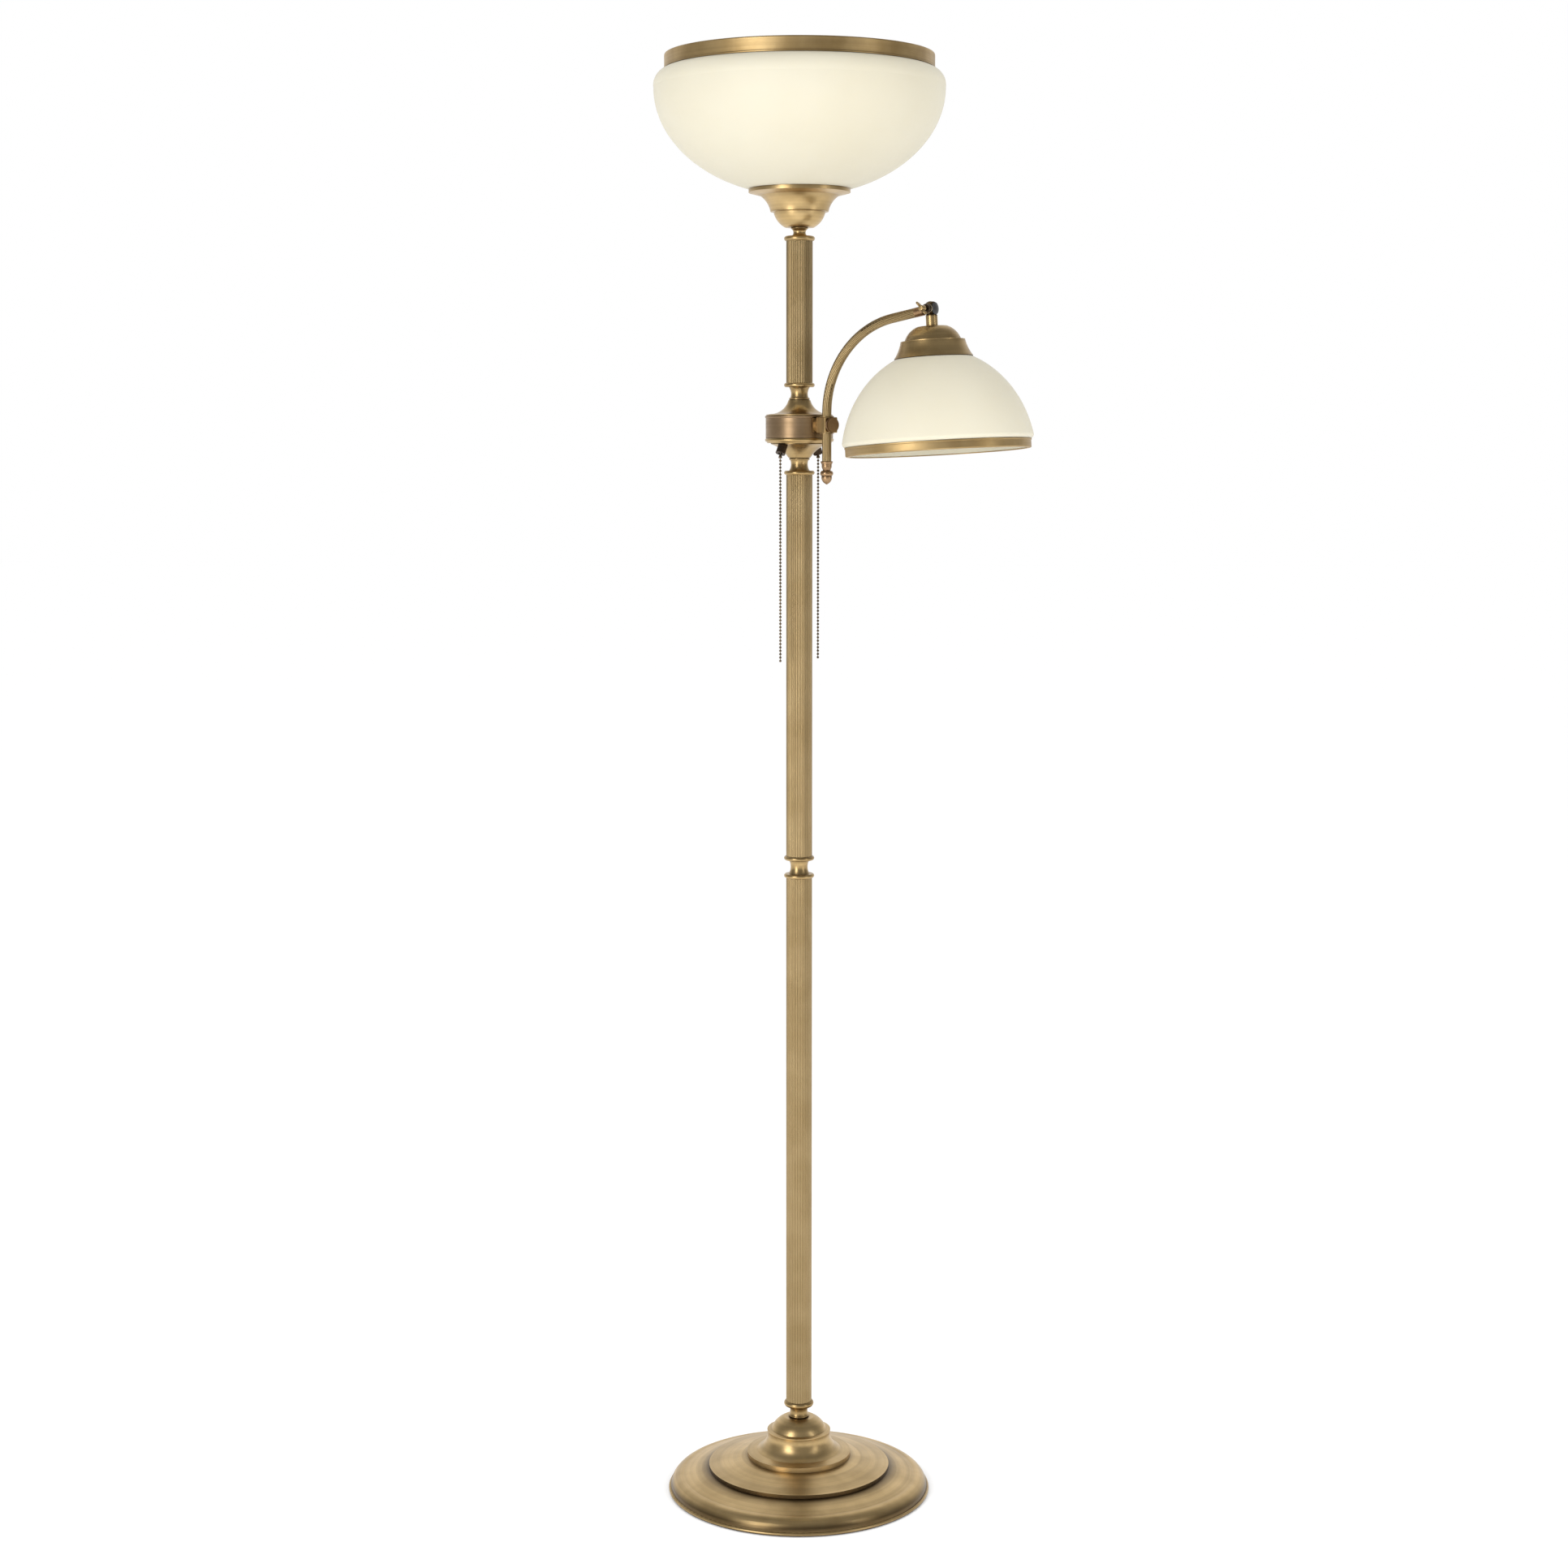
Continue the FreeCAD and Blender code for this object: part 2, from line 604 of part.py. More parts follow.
def switch_nut(azimuth):
    """Knurled nut on the switch's neck, with a thin lip at its mouth; it seats on the curved cover."""
    lip_z = SWITCH_NUT - SWITCH_LIP
    grip = lifted(Part.Face(scalloped(SWITCH_NUT_R, KNURL, 30)).extrude(V(0, 0, lip_z + 1.5)), -1.5)
    body = grip.fuse(rod(SWITCH_NUT_R + KNURL, lip_z, SWITCH_NUT))
    neck_hole = rod(SWITCH_NECK_R + SLIP, -2, NECK_END)
    mouth = rod(SWITCH_BORE_R, -2, SWITCH_NUT)
    cover = lifted(filled(lower_cover_outline()), LOWER_COVER_Z)
    return at_switch(body.cut([neck_hole, mouth]), azimuth).cut(cover)


def at_chain(shape, azimuth):
    return placed(placed(shape, V(CHAIN_R, 0, 0)), V(), (Z_AXIS, azimuth))


def pull_link(azimuth):
    """Short wire and bell that join the switch to its chain."""
    shoulder_z = PULL_LOW_Z + 3.2
    wire_top = CHAIN_TOP_Z + 2.2
    body = turned((0, PULL_LOW_Z), (BEAD_R, PULL_LOW_Z), (PULL_BELL_R, PULL_LOW_Z + 0.8),
                  ((PULL_BELL_R - 0.5, shoulder_z), (PULL_WIRE_R, PULL_LOW_Z + PULL_BELL)),
                  (PULL_WIRE_R, wire_top), (0, wire_top))
    return at_chain(body, azimuth)


def chain(azimuth):
    """Bead chain, hanging straight down; it ends in a bare bead."""
    top = PULL_LOW_Z - APART
    chord = math.sqrt(BEAD_R ** 2 - LINK_R ** 2)
    steps = [(LINK_R, top)]
    for i in range(BEADS):
        centre = top - 1.0 - BEAD_R - i * BEAD_PITCH
        steps.append((LINK_R, centre + chord))
        if i < BEADS - 1:
            steps.append(((BEAD_R, centre), (LINK_R, centre - chord)))
    middle = BEAD_R * math.sqrt(0.5)
    steps.append(((middle, centre - middle), (0, centre - BEAD_R)))
    return at_chain(turned((0, top), *steps), azimuth)


def terminal_block():
    """Connector block beside the spacer, where the cord meets the switches."""
    corner = V(SPACER_R + 3, -TERMINAL_LENGTH / 2, DRUM_Z + 8)
    block = Part.makeBox(TERMINAL_WIDTH, TERMINAL_LENGTH, TERMINAL_HEIGHT, corner)
    return placed(block, V(), (Z_AXIS, SWITCH_AZIMUTH - 90))


def column_cables():
    """The wires in the tie tubes, from the base to the housing and from the housing to the bowl."""
    lower = rod(CORD_R, PAD_THICKNESS + 2, SPACER_LOW_Z + TIE_ENGAGEMENT)
    upper = rod(CORD_R, SPACER_HIGH_Z - TIE_ENGAGEMENT, TOP_HOLDER_Z + NIPPLE)
    return Part.makeCompound([lower, upper])


# ---- Bracket: its own frame has +X straight out of the drum, at the block's height ----

def at_bracket(shape):
    return placed(shape, V(0, 0, BLOCK_Z), (Z_AXIS, BRACKET_AZIMUTH))


def bracket_plate():
    """Saddle that follows the drum's curve."""
    ring = tube(SADDLE_R, DRUM_R, -SADDLE / 2, SADDLE / 2)
    plate = ring.common(Part.makeBox(SADDLE_R, SADDLE, SADDLE, V(0, -SADDLE / 2, -SADDLE / 2)))
    return at_bracket(plate.cut(x_rod(BOLT_R + SLIP, 0, SADDLE_R + 1)))


def bracket_spacer():
    body = x_rod(KNOB_R, DRUM_R - 3, BLOCK_IN_X).cut(rod(SADDLE_R, -KNOB_R, KNOB_R))
    return at_bracket(body.cut(x_rod(BOLT_R + SLIP, 0, BLOCK_IN_X)))


def bracket_bolt():
    head = x_rod(2 * BOLT_R, BOLT_HEAD_X, BOLT_HEAD_X + BOLT_HEAD)
    return at_bracket(head.fuse(x_rod(BOLT_R, BOLT_HEAD_X, BOLT_END_X)))


def clamp_block():
    """Square block that holds the arm's bush; a knob on its outer face clamps the arm."""
    body = placed(centred_box(BLOCK, BLOCK, BLOCK), V(BLOCK_CENTRE_R, 0, 0))
    body = body.makeChamfer(BLOCK_EDGE, body.Edges)
    bush_hole = placed(rod(BUSH_R + RUNNING, -BLOCK, BLOCK), V(BLOCK_CENTRE_R, 0, 0))
    bolt_hole = x_rod(BOLT_R, BLOCK_IN_X - 1, BLOCK_CENTRE_R)
    screw_hole = x_rod(BOLT_R + RUNNING, BLOCK_CENTRE_R, BLOCK_OUT_X + 1)
    return at_bracket(body.cut([bush_hole, bolt_hole, screw_hole]))


def clamp_knob():
    """Flat round knob with a fluted edge, on a screw that presses on the bush."""
    inner = BLOCK_OUT_X + APART
    grip = KNOB - KNOB_EDGE
    disc = Part.Face(scalloped(KNOB_R, KNURL, 36)).extrude(V(0, 0, grip))
    disc = disc.fuse(rod(KNOB_R - 1, grip, KNOB))
    screw = x_rod(BOLT_R, BLOCK_CENTRE_R + BUSH_R + APART, inner)
    return at_bracket(placed(disc, V(inner, 0, 0), (Y_AXIS, 90)).fuse(screw))


def at_arm(shape):
    """From a frame with the arm's upright on Z and its reach along +X."""
    return placed(shape, V(ARM_X, ARM_Y, 0), (Z_AXIS, ARM_AZIMUTH))


def arm_bush():
    """Split bush that turns in the block while the arm slides in it."""
    flange_r = BLOCK / 2 - 0.5
    body = rod(BUSH_R, BLOCK_LOW_Z - APART, BLOCK_HIGH_Z + APART)
    top = rod(flange_r, BLOCK_HIGH_Z + APART, BLOCK_HIGH_Z + APART + BUSH_FLANGE)
    bottom = rod(flange_r, BLOCK_LOW_Z - APART - BUSH_FLANGE, BLOCK_LOW_Z - APART)
    bore = rod(ARM_R + RUNNING, BLOCK_LOW_Z - 2, BLOCK_HIGH_Z + 2)
    return at_arm(body.fuse([top, bottom]).cut(bore))


# ---- Arm: up, over in one bend, then straight to the pivot ----

def along_arm(face, straight_end):
    """Sweeps a face in the XY plane up the arm's upright, round its bend and along its straight."""
    low = lifted(face, ARM_LOW_Z)
    upright = low.extrude(V(0, 0, BEND_Z - ARM_LOW_Z))
    centre = V(ARM_BEND_R, 0, BEND_Z)
    bend_face = lifted(face, BEND_Z)
    bend = bend_face.revolve(centre, Y_AXIS, ARM_BEND_ANGLE)
    straight_face = bend_face.copy()
    straight_face.rotate(centre, Y_AXIS, ARM_BEND_ANGLE)
    straight = straight_face.extrude(V(math.sin(BEND), 0, math.cos(BEND)) * straight_end)
    return upright.fuse([bend, straight])


def arm_tube():
    section = reeded_section(ARM_R, ARM_REED_DEPTH, ARM_REEDS, ARM_R - ARM_WALL)
    return at_arm(along_arm(section, TUBE_END))


def arm_cable():
    section = Part.Face(Part.Wire(Part.makeCircle(ARM_CORD_R)))
    cable = along_arm(section, TUBE_END - SPIGOT - 2)
    return at_arm(cable.cut(rod(ARM_R, ARM_LOW_Z, ARM_LOW_Z + SPIGOT + 2)))


def arm_finial():
    """Acorn that closes the arm's lower end."""
    spigot_r = ARM_R - ARM_WALL - SLIP
    body = turned(
        (0, SPIGOT), (spigot_r, SPIGOT), (spigot_r, 0), (FINIAL_R, 0),
        ((FINIAL_R + 0.6, -1.0), (FINIAL_R, -2.0)),
        (6.9, -3.4), (6.4, -3.6), (6.3, -7.6),
        ((5.4, -9.6), (4.8, -11.6)),
        ((8.1, -16.2), (6.2, -18.6)),
        (6.6, -19.0),
        ((5.8, -24.0), (1.2, -28.6)),
        dome(1.2, -28.6, -29.2))
    return at_arm(lifted(body, ARM_LOW_Z))


def at_pivot(shape):
    """From a frame at the tilt pivot with +X along the arm's reach, and the tilt screw along Y."""
    return placed(shape, V(ARM_REACH, 0, PIVOT_Z))


def arm_end():
    """Fitting on the arm's end: a ferrule, and a flat eye that sits in the head's slotted ball."""
    spigot = x_rod(ARM_R - ARM_WALL - SLIP, -FERRULE_END - SPIGOT, -FERRULE_END)
    ferrule = x_rod(FERRULE_R, -FERRULE_END, -SHANK_TO_PIVOT)
    neck = Part.makeBox(SHANK_TO_PIVOT, EYE, NECK, V(-SHANK_TO_PIVOT, -EYE / 2, -NECK / 2))
    eye = y_rod(EYE_R, -EYE / 2, EYE / 2)
    wire_hole = x_rod(ARM_CORD_R + SLIP, -FERRULE_END - SPIGOT, -FERRULE_END + FERRULE / 2)
    body = ferrule.makeChamfer(FERRULE_EDGE, ferrule.Edges[:1]).fuse([spigot, neck, eye])
    body = body.cut([wire_hole, y_rod(TILT_SCREW_R + RUNNING, -EYE, EYE)])
    return at_arm(at_pivot(placed(body, V(), (Y_AXIS, ARM_BEND_ANGLE - 90))))


# ---- Head: its own frame hangs from the pivot, with the shade's axis on Z and its mouth downwards ----

def at_head(shape):
    return at_arm(at_pivot(placed(shape, V(), (Y_AXIS, -TILT_REST))))


def head_knuckle():
    """Slotted ball on a stem, with the threaded nipple that carries the cap and the lampholder."""
    reach = 2 * BALL_R
    half_slot = EYE / 2 + APART
    flat = Part.makeBox(BALL_R, reach, reach, V(PLUG_X, -BALL_R, -BALL_R))
    pocket = y_rod(EYE_R + APART, -half_slot, half_slot)
    swing = Part.makeCylinder(BALL_R + SLIP, 2 * half_slot, V(0, -half_slot, 0), Y_AXIS, SLOT_SWEEP)
    swing.rotate(V(), Y_AXIS, SLOT_START)
    ball = Part.makeSphere(BALL_R).cut([flat, pocket, swing])
    stem = rod(STEM_R, -STEM_END, -BALL_SEAT - SLIP)
    nipple = rod(TIE_R, -STEM_END - NIPPLE, -STEM_END)
    wire_hole = rod(CORD_R, -STEM_END - NIPPLE, 0)
    screw_hole = y_rod(TILT_SCREW_R, -BALL_R, BALL_R)
    seat = Part.makeBox(reach, BALL_R, reach, V(-BALL_R, -BALL_SEAT - BALL_R, -BALL_R))
    return at_head(ball.fuse([stem, nipple]).cut([wire_hole, screw_hole, seat]))


def knuckle_plug():
    """Round plug in the ball's outer side."""
    radius = BALL_SEAT - SLIP
    body = turned((0, 0), (radius, 0), (radius, PLUG_EDGE), dome(radius, PLUG_EDGE, PLUG))
    return at_head(placed(body, V(PLUG_X + PLUG_GAP, 0, 0), (Y_AXIS, 90)))


def tilt_washer():
    return at_head(screw_ring(TILT_WASHER_R, -BALL_SEAT - TILT_WASHER, -BALL_SEAT))


def tilt_nut():
    outer = -BALL_SEAT - TILT_WASHER
    return at_head(screw_ring(TILT_NUT_R, outer - TILT_NUT, outer))


def screw_ring(radius, low, high):
    """A ring round the tilt screw."""
    return y_rod(radius, low, high).cut(y_rod(TILT_SCREW_R + SLIP, low, high))


def wing_screw():
    """Screw through the ball and the eye, with two rounded wings to turn it by."""
    hub_in = -BALL_SEAT - TILT_WASHER - TILT_NUT - APART
    hub = y_rod(WING_HUB_R, hub_in - WING_HUB, hub_in)
    shank = y_rod(TILT_SCREW_R - RUNNING, hub_in, EYE)
    wings = [placed(wing(), V(0, hub_in - WING_HUB + 3.0, 0), (Y_AXIS, angle)) for angle in (0, 180)]
    return at_head(hub.fuse([shank] + wings))


def wing():
    """One wing: a thumb-sized ear, flat and round-ended."""
    ear = outline((0, -1.4), ((7.4, -4.6), (10.2, 0.4)), ((7.6, 4.0), (3.0, 3.2)), (0, 3.6), (0, -1.4))
    ear.rotate(V(), X_AXIS, 90)
    return lifted(Part.Face(ear).extrude(V(0, 0, WING)), -WING / 2)


def head_cap():
    return at_head(lifted(turned_over(cup(**HEAD_CAP)), -STEM_END))


# ---- Opal glass, rings, lampholders and bulbs: each is made mouth upwards ----

def ellipse_line(half_width, half_height, low_r, high_z):
    """A smooth quarter-ellipse line from radius low_r up to high_z; its widest point is at z 0."""
    low = math.acos(low_r / half_width)
    high = math.asin(-high_z / half_height)
    count = 9
    angles = [low + (high - low) * i / (count - 1) for i in range(count)]
    points = [at(half_width * math.cos(a), -half_height * math.sin(a)) for a in angles]
    curve = Part.BSplineCurve()
    curve.interpolate(points)
    return curve.toShape(), points[0], points[-1]


def glass(half_width, half_height, cut_z, shoulder, neck_r, neck):
    """Blown shade: an ellipse with a hole at its bottom, a round shoulder and an upright neck."""
    outer, outer_low, outer_high = ellipse_line(half_width, half_height, GLASS_HOLE_R, cut_z)
    inner, inner_low, inner_high = ellipse_line(half_width - GLASS, half_height - GLASS, GLASS_HOLE_R, cut_z)
    shoulder_z = cut_z + shoulder
    rise = math.sqrt(0.5)
    bulge = outer_high.x - neck_r
    outer_via = at(neck_r + bulge * rise, cut_z + shoulder * rise)
    inner_via = at(neck_r - GLASS + bulge * rise, cut_z + shoulder * rise)
    outer_neck, outer_top = at(neck_r, shoulder_z), at(neck_r, shoulder_z + neck)
    inner_neck, inner_top = at(neck_r - GLASS, shoulder_z), at(neck_r - GLASS, shoulder_z + neck)
    edges = [
        outer,
        Part.Arc(outer_high, outer_via, outer_neck).toShape(),
        Part.makeLine(outer_neck, outer_top),
        Part.makeLine(outer_top, inner_top),
        Part.makeLine(inner_top, inner_neck),
        Part.Arc(inner_neck, inner_via, inner_high).toShape(),
        inner,
        Part.makeLine(inner_low, outer_low)]
    face = Part.Face(Part.Wire(Part.__sortEdges__(edges)))
    return face.revolve(V(), Z_AXIS, 360)


def rim_ring(radius, height):
    """Plain brass band round a glass's neck, with a small hem at its foot; its top turns in over the glass."""
    bore = radius - SHEET
    lip = bore - GLASS
    hem_r = radius + RING_HEM
    edge_z = height - RING_EDGE
    fall = RING_EDGE * (1 - math.sqrt(0.5))
    return turned(
        (bore, 0), (hem_r, 0), (hem_r, 2 * RING_HEM), (radius, 3 * RING_HEM),
        (radius, edge_z), ((radius - fall, height - fall), (radius - RING_EDGE, height)),
        (lip, height), (lip, height - SHEET), (bore, height - SHEET))


def lampholder():
    """Holder with a flange under the glass and a threaded skirt through its hole."""
    body = turned((0, 0), (HOLDER_R - 2, 0), (HOLDER_R, 2), (HOLDER_R, GALLERY_Z - 1), (GALLERY_R, GALLERY_Z),
                  (GALLERY_R, GALLERY_Z + GALLERY), (HOLDER_SKIRT_R, GALLERY_Z + GALLERY),
                  (HOLDER_SKIRT_R, HOLDER_LENGTH), (0, HOLDER_LENGTH))
    nipple_hole = rod(TIE_R, 0, NIPPLE)
    return body.cut([nipple_hole, rod(SOCKET_R, HOLDER_LENGTH - SOCKET_DEPTH, HOLDER_LENGTH)])


def shade_ring():
    """Ring nut on the lampholder's skirt that holds the glass down."""
    body = turned((HOLDER_SKIRT_R, 0), (GALLERY_R, 0), (GALLERY_R, RING_NUT - 1.5), (GALLERY_R - 4, RING_NUT),
                  (HOLDER_SKIRT_R, RING_NUT))
    return lifted(body, GALLERY_Z + GALLERY + GLASS + RING_NUT_GAP)


def bulb():
    """Round lamp: a screw cap, and a thin glass envelope that stands on it."""
    centre = BULB_LENGTH - BULB_R
    neck_r = BULB_CAP_R + 1.2
    waist = (BULB_WAIST_R, (BULB_CAP + centre) / 2 - 3)
    diagonal = BULB_R * math.sqrt(0.5)
    cap = turned((0, 0), (5, 0), (BULB_CAP_R - 2, 3), (BULB_CAP_R, 4), (BULB_CAP_R, BULB_CAP), (0, BULB_CAP))
    wire = outline((neck_r, BULB_CAP), (waist, (BULB_R, centre)),
                   ((diagonal, centre + diagonal), (0, BULB_LENGTH)))
    return Part.makeCompound([cap, spun(wire, BULB_WALL)])


def bowl_glass():
    neck_r = BOWL_RING_R - SHEET - SLIP
    return lifted(glass(BOWL_R, BOWL_DEPTH, 0, BOWL_SHOULDER, neck_r, BOWL_RING - SHEET - SLIP), BOWL_Z)


def bowl_ring():
    return lifted(rim_ring(BOWL_RING_R, BOWL_RING), BOWL_Z + BOWL_SHOULDER)


def in_shade(shape, depth):
    """Turns a part that was made mouth upwards over, and hangs it depth below the pivot."""
    return at_head(lifted(turned_over(shape), -depth))


def lower_glass():
    neck_r = SHADE_RING_R - SHEET - SLIP
    body = glass(SHADE_R, SHADE_DEPTH, -SHADE_CUT, SHADE_SHOULDER, neck_r, SHADE_RING - SHEET - SLIP)
    return in_shade(body, SHADE_Z)


def lower_ring():
    return in_shade(rim_ring(SHADE_RING_R, SHADE_RING), SHADE_Z - SHADE_CUT + SHADE_SHOULDER)


def write(name, shape):
    solids = len(shape.Solids)
    if not shape.isValid() or solids == 0:
        raise ValueError("%s is not a sound solid" % name)
    shape.exportStep("parts/%s.step" % name)
    print("%-24s %d solid %10.1f mm3" % (name, solids, shape.Volume))


def build():
    os.makedirs("parts", exist_ok=True)
    parts = {
        "base_pad": base_pad(),
        "base_weight": base_weight(),
        "base_washer": base_washer(),
        "base_lock_nut": base_lock_nut(),
        "base_shell": base_shell(),
        "cord_bushing": cord_bushing(),
        "base_bell": base_bell(),
        "tie_tube_lower": tie_tube_lower(),
        "tie_tube_upper": tie_tube_upper(),
        "column_cables": column_cables(),
        "lower_collar": lower_collar(),
        "lower_tube": reeded_tube(LOWER_TUBE, LOWER_TUBE_Z),
        "middle_collar": middle_collar(),
        "middle_tube": reeded_tube(MIDDLE_TUBE, MIDDLE_TUBE_Z),
        "housing_lower_collar": housing_lower_collar(),
        "housing_lower_cover": housing_lower_cover(),
        "housing_spacer": housing_spacer(),
        "housing_drum": housing_drum(),
        "housing_upper_cover": housing_upper_cover(),
        "housing_upper_collar": housing_upper_collar(),
        "terminal_block": terminal_block(),
        "upper_tube": reeded_tube(UPPER_TUBE, UPPER_TUBE_Z),
        "top_collar": top_collar(),
        "top_cup": top_cup(),
        "top_lock_nut": lifted(hex_nut(NUT_FLATS, LOCK_NUT, TIE_R), CUP_Z + SHEET),
        "top_lampholder": lifted(lampholder(), TOP_HOLDER_Z),
        "top_shade_ring": lifted(shade_ring(), TOP_HOLDER_Z),
        "top_bulb": lifted(bulb(), TOP_HOLDER_Z + BULB_SEAT),
        "bowl_glass": bowl_glass(),
        "bowl_ring": bowl_ring(),
        "bracket_plate": bracket_plate(),
        "bracket_spacer": bracket_spacer(),
        "bracket_bolt": bracket_bolt(),
        "clamp_block": clamp_block(),
        "clamp_knob": clamp_knob(),
        "arm_bush": arm_bush(),
        "arm_tube": arm_tube(),
        "arm_cable": arm_cable(),
        "arm_finial": arm_finial(),
        "arm_end": arm_end(),
        "head_knuckle": head_knuckle(),
        "knuckle_plug": knuckle_plug(),
        "tilt_washer": tilt_washer(),
        "tilt_nut": tilt_nut(),
        "wing_screw": wing_screw(),
        "head_cap": head_cap(),
        "lower_lampholder": in_shade(lampholder(), HEAD_HOLDER_Z),
        "lower_shade_ring": in_shade(shade_ring(), HEAD_HOLDER_Z),
        "lower_bulb": in_shade(bulb(), HEAD_HOLDER_Z + BULB_SEAT),
        "lower_glass": lower_glass(),
        "lower_ring": lower_ring(),
    }
    for side, azimuth in (("left", SWITCH_AZIMUTHS[0]), ("right", SWITCH_AZIMUTHS[1])):
        parts[side + "_switch"] = switch(azimuth)
        parts[side + "_switch_nut"] = switch_nut(azimuth)
        parts[side + "_pull_link"] = pull_link(azimuth)
        parts[side + "_chain"] = chain(azimuth)
    for name, shape in parts.items():
        write(name, shape)


build()
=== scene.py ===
# %% [markdown]
# # A pharmacy floor lamp, dressed for its portrait
# The lamp's metalwork, glass and joints come as a fixed frame of solid parts, each already in its place.
# This lesson gives every part its finish, models the small pieces that a foundry or a press would shape,
# and then sets up the floor, the lights and the camera.

# %% Load the frame
import json
import math

import bpy
from mathutils import Matrix, Vector


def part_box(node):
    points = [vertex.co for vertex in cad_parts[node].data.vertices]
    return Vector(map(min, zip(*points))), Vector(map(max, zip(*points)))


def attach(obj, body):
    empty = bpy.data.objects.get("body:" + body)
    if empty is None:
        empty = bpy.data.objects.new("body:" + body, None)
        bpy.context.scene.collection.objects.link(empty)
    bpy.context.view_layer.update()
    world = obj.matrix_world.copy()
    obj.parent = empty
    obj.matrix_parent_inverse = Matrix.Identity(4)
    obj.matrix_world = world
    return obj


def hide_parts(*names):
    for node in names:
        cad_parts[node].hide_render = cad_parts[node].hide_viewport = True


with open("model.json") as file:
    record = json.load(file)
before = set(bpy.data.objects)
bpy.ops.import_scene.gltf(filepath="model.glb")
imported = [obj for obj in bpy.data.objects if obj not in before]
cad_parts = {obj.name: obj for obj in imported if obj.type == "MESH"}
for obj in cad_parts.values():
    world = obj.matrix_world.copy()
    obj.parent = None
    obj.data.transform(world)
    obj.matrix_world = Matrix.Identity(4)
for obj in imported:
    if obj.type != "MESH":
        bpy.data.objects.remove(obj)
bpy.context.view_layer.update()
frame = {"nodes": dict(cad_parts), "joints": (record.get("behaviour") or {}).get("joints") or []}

nodes = frame["nodes"]

# %% [markdown]
# Sizes are in metres. The places that the finishes and the new pieces need are read from the frame: the
# column stands on the origin, and the tilt joint's record gives the pivot and the axis that the shade turns
# about. The few sizes that the frame doesn't record, such as the arm's bend, are named where they are used.

# %% Places on the lamp
MM = 0.001
UP = Vector((0, 0, 1))
ORIGIN = Vector((0, 0, 0))
joints = {joint["name"]: joint for joint in frame["joints"]}


def corners(name):
    low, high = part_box(name)
    return Vector(low), Vector(high)


def middle(name):
    low, high = corners(name)
    return (low + high) / 2


pivot = Vector(joints["head_tilt"]["pos_m"])
tilt_axis = Vector(joints["head_tilt"]["axis"]).normalized()
arm_foot = Vector(joints["arm_swivel"]["pos_m"])
reach = Vector((pivot.x - arm_foot.x, pivot.y - arm_foot.y, 0)).normalized()
clamp_axis = Vector(joints["clamp_knob_turn"]["axis"]).normalized()
shade_axis = (pivot - middle("lower_ring")).normalized()
print("pivot", [round(v, 4) for v in pivot], "shade axis", [round(v, 3) for v in shade_axis])

# %% [markdown]
# ## Finishes
# A finish is a small network of nodes. A few helpers keep the networks short: one starts a material, one
# adds a node, one joins two sockets, and one does a sum. A colour or number that is the same all over a
# surface is set on the shader itself.

# %% Helpers for materials
made = []


def start_material(name, roughness, metallic=0.0):
    material = bpy.data.materials.new(name)
    material.use_nodes = True
    shader = material.node_tree.nodes["Principled BSDF"]
    shader.inputs["Roughness"].default_value = roughness
    shader.inputs["Metallic"].default_value = metallic
    made.append(name)
    return material, shader


def add_node(material, kind, **settings):
    node = material.node_tree.nodes.new("ShaderNode" + kind)
    for name, value in settings.items():
        setattr(node, name, value)
    return node


def join(material, source, target):
    material.node_tree.links.new(source, target)


def maths(material, operation, *values):
    """One Math node; each value is a socket or a plain number."""
    node = add_node(material, "Math", operation=operation)
    for socket, value in zip(node.inputs, values):
        if isinstance(value, (int, float)):
            socket.default_value = value
        else:
            join(material, value, socket)
    return node.outputs[0]


def spread(material, value, low, high, to_low=0.0, to_high=1.0):
    """Moves a value from the range low..high to the range to_low..to_high, and keeps it inside."""
    node = add_node(material, "MapRange")
    join(material, value, node.inputs["Value"])
    for name, number in (("From Min", low), ("From Max", high), ("To Min", to_low), ("To Max", to_high)):
        node.inputs[name].default_value = number
    return node.outputs["Result"]


def blend_colours(material, amount, first, second):
    """Mixes two colours; each is a socket or an (r, g, b)."""
    node = add_node(material, "Mix", data_type="RGBA")
    join(material, amount, node.inputs["Factor"])
    for socket, value in ((node.inputs[6], first), (node.inputs[7], second)):
        if isinstance(value, tuple):
            socket.default_value = (*value, 1.0)
        else:
            join(material, value, socket)
    return node.outputs[2]


def noise(material, vector, scale, detail=3.0):
    node = add_node(material, "TexNoise")
    node.inputs["Scale"].default_value = scale
    node.inputs["Detail"].default_value = detail
    join(material, vector, node.inputs["Vector"])
    return node.outputs["Fac"]


def local_coordinates(material, centre, turn):
    """Object coordinates seen from a part's own centre, turned by its own angles."""
    coordinates = add_node(material, "TexCoord")
    mapping = add_node(material, "Mapping", vector_type="TEXTURE")
    mapping.inputs["Location"].default_value = centre
    mapping.inputs["Rotation"].default_value = turn
    join(material, coordinates.outputs["Object"], mapping.inputs["Vector"])
    return mapping.outputs["Vector"]


def turn_to(axis):
    """The angles that bring Z onto an axis."""
    return axis.to_track_quat("Z", "Y").to_euler()


def split(material, vector):
    node = add_node(material, "SeparateXYZ")
    join(material, vector, node.inputs["Vector"])
    return node.outputs


def gather(material, x, y, z):
    node = add_node(material, "CombineXYZ")
    for socket, value in zip(node.inputs, (x, y, z)):
        join(material, value, socket)
    return node.outputs["Vector"]


def stretched(material, values, rates):
    """A vector whose three parts each change at a rate of their own."""
    return gather(material, *[maths(material, "MULTIPLY", value, rate)
                              for value, rate in zip(values, rates)])


def length(material, first, second):
    squares = [maths(material, "MULTIPLY", value, value) for value in (first, second)]
    return maths(material, "SQRT", maths(material, "ADD", *squares))


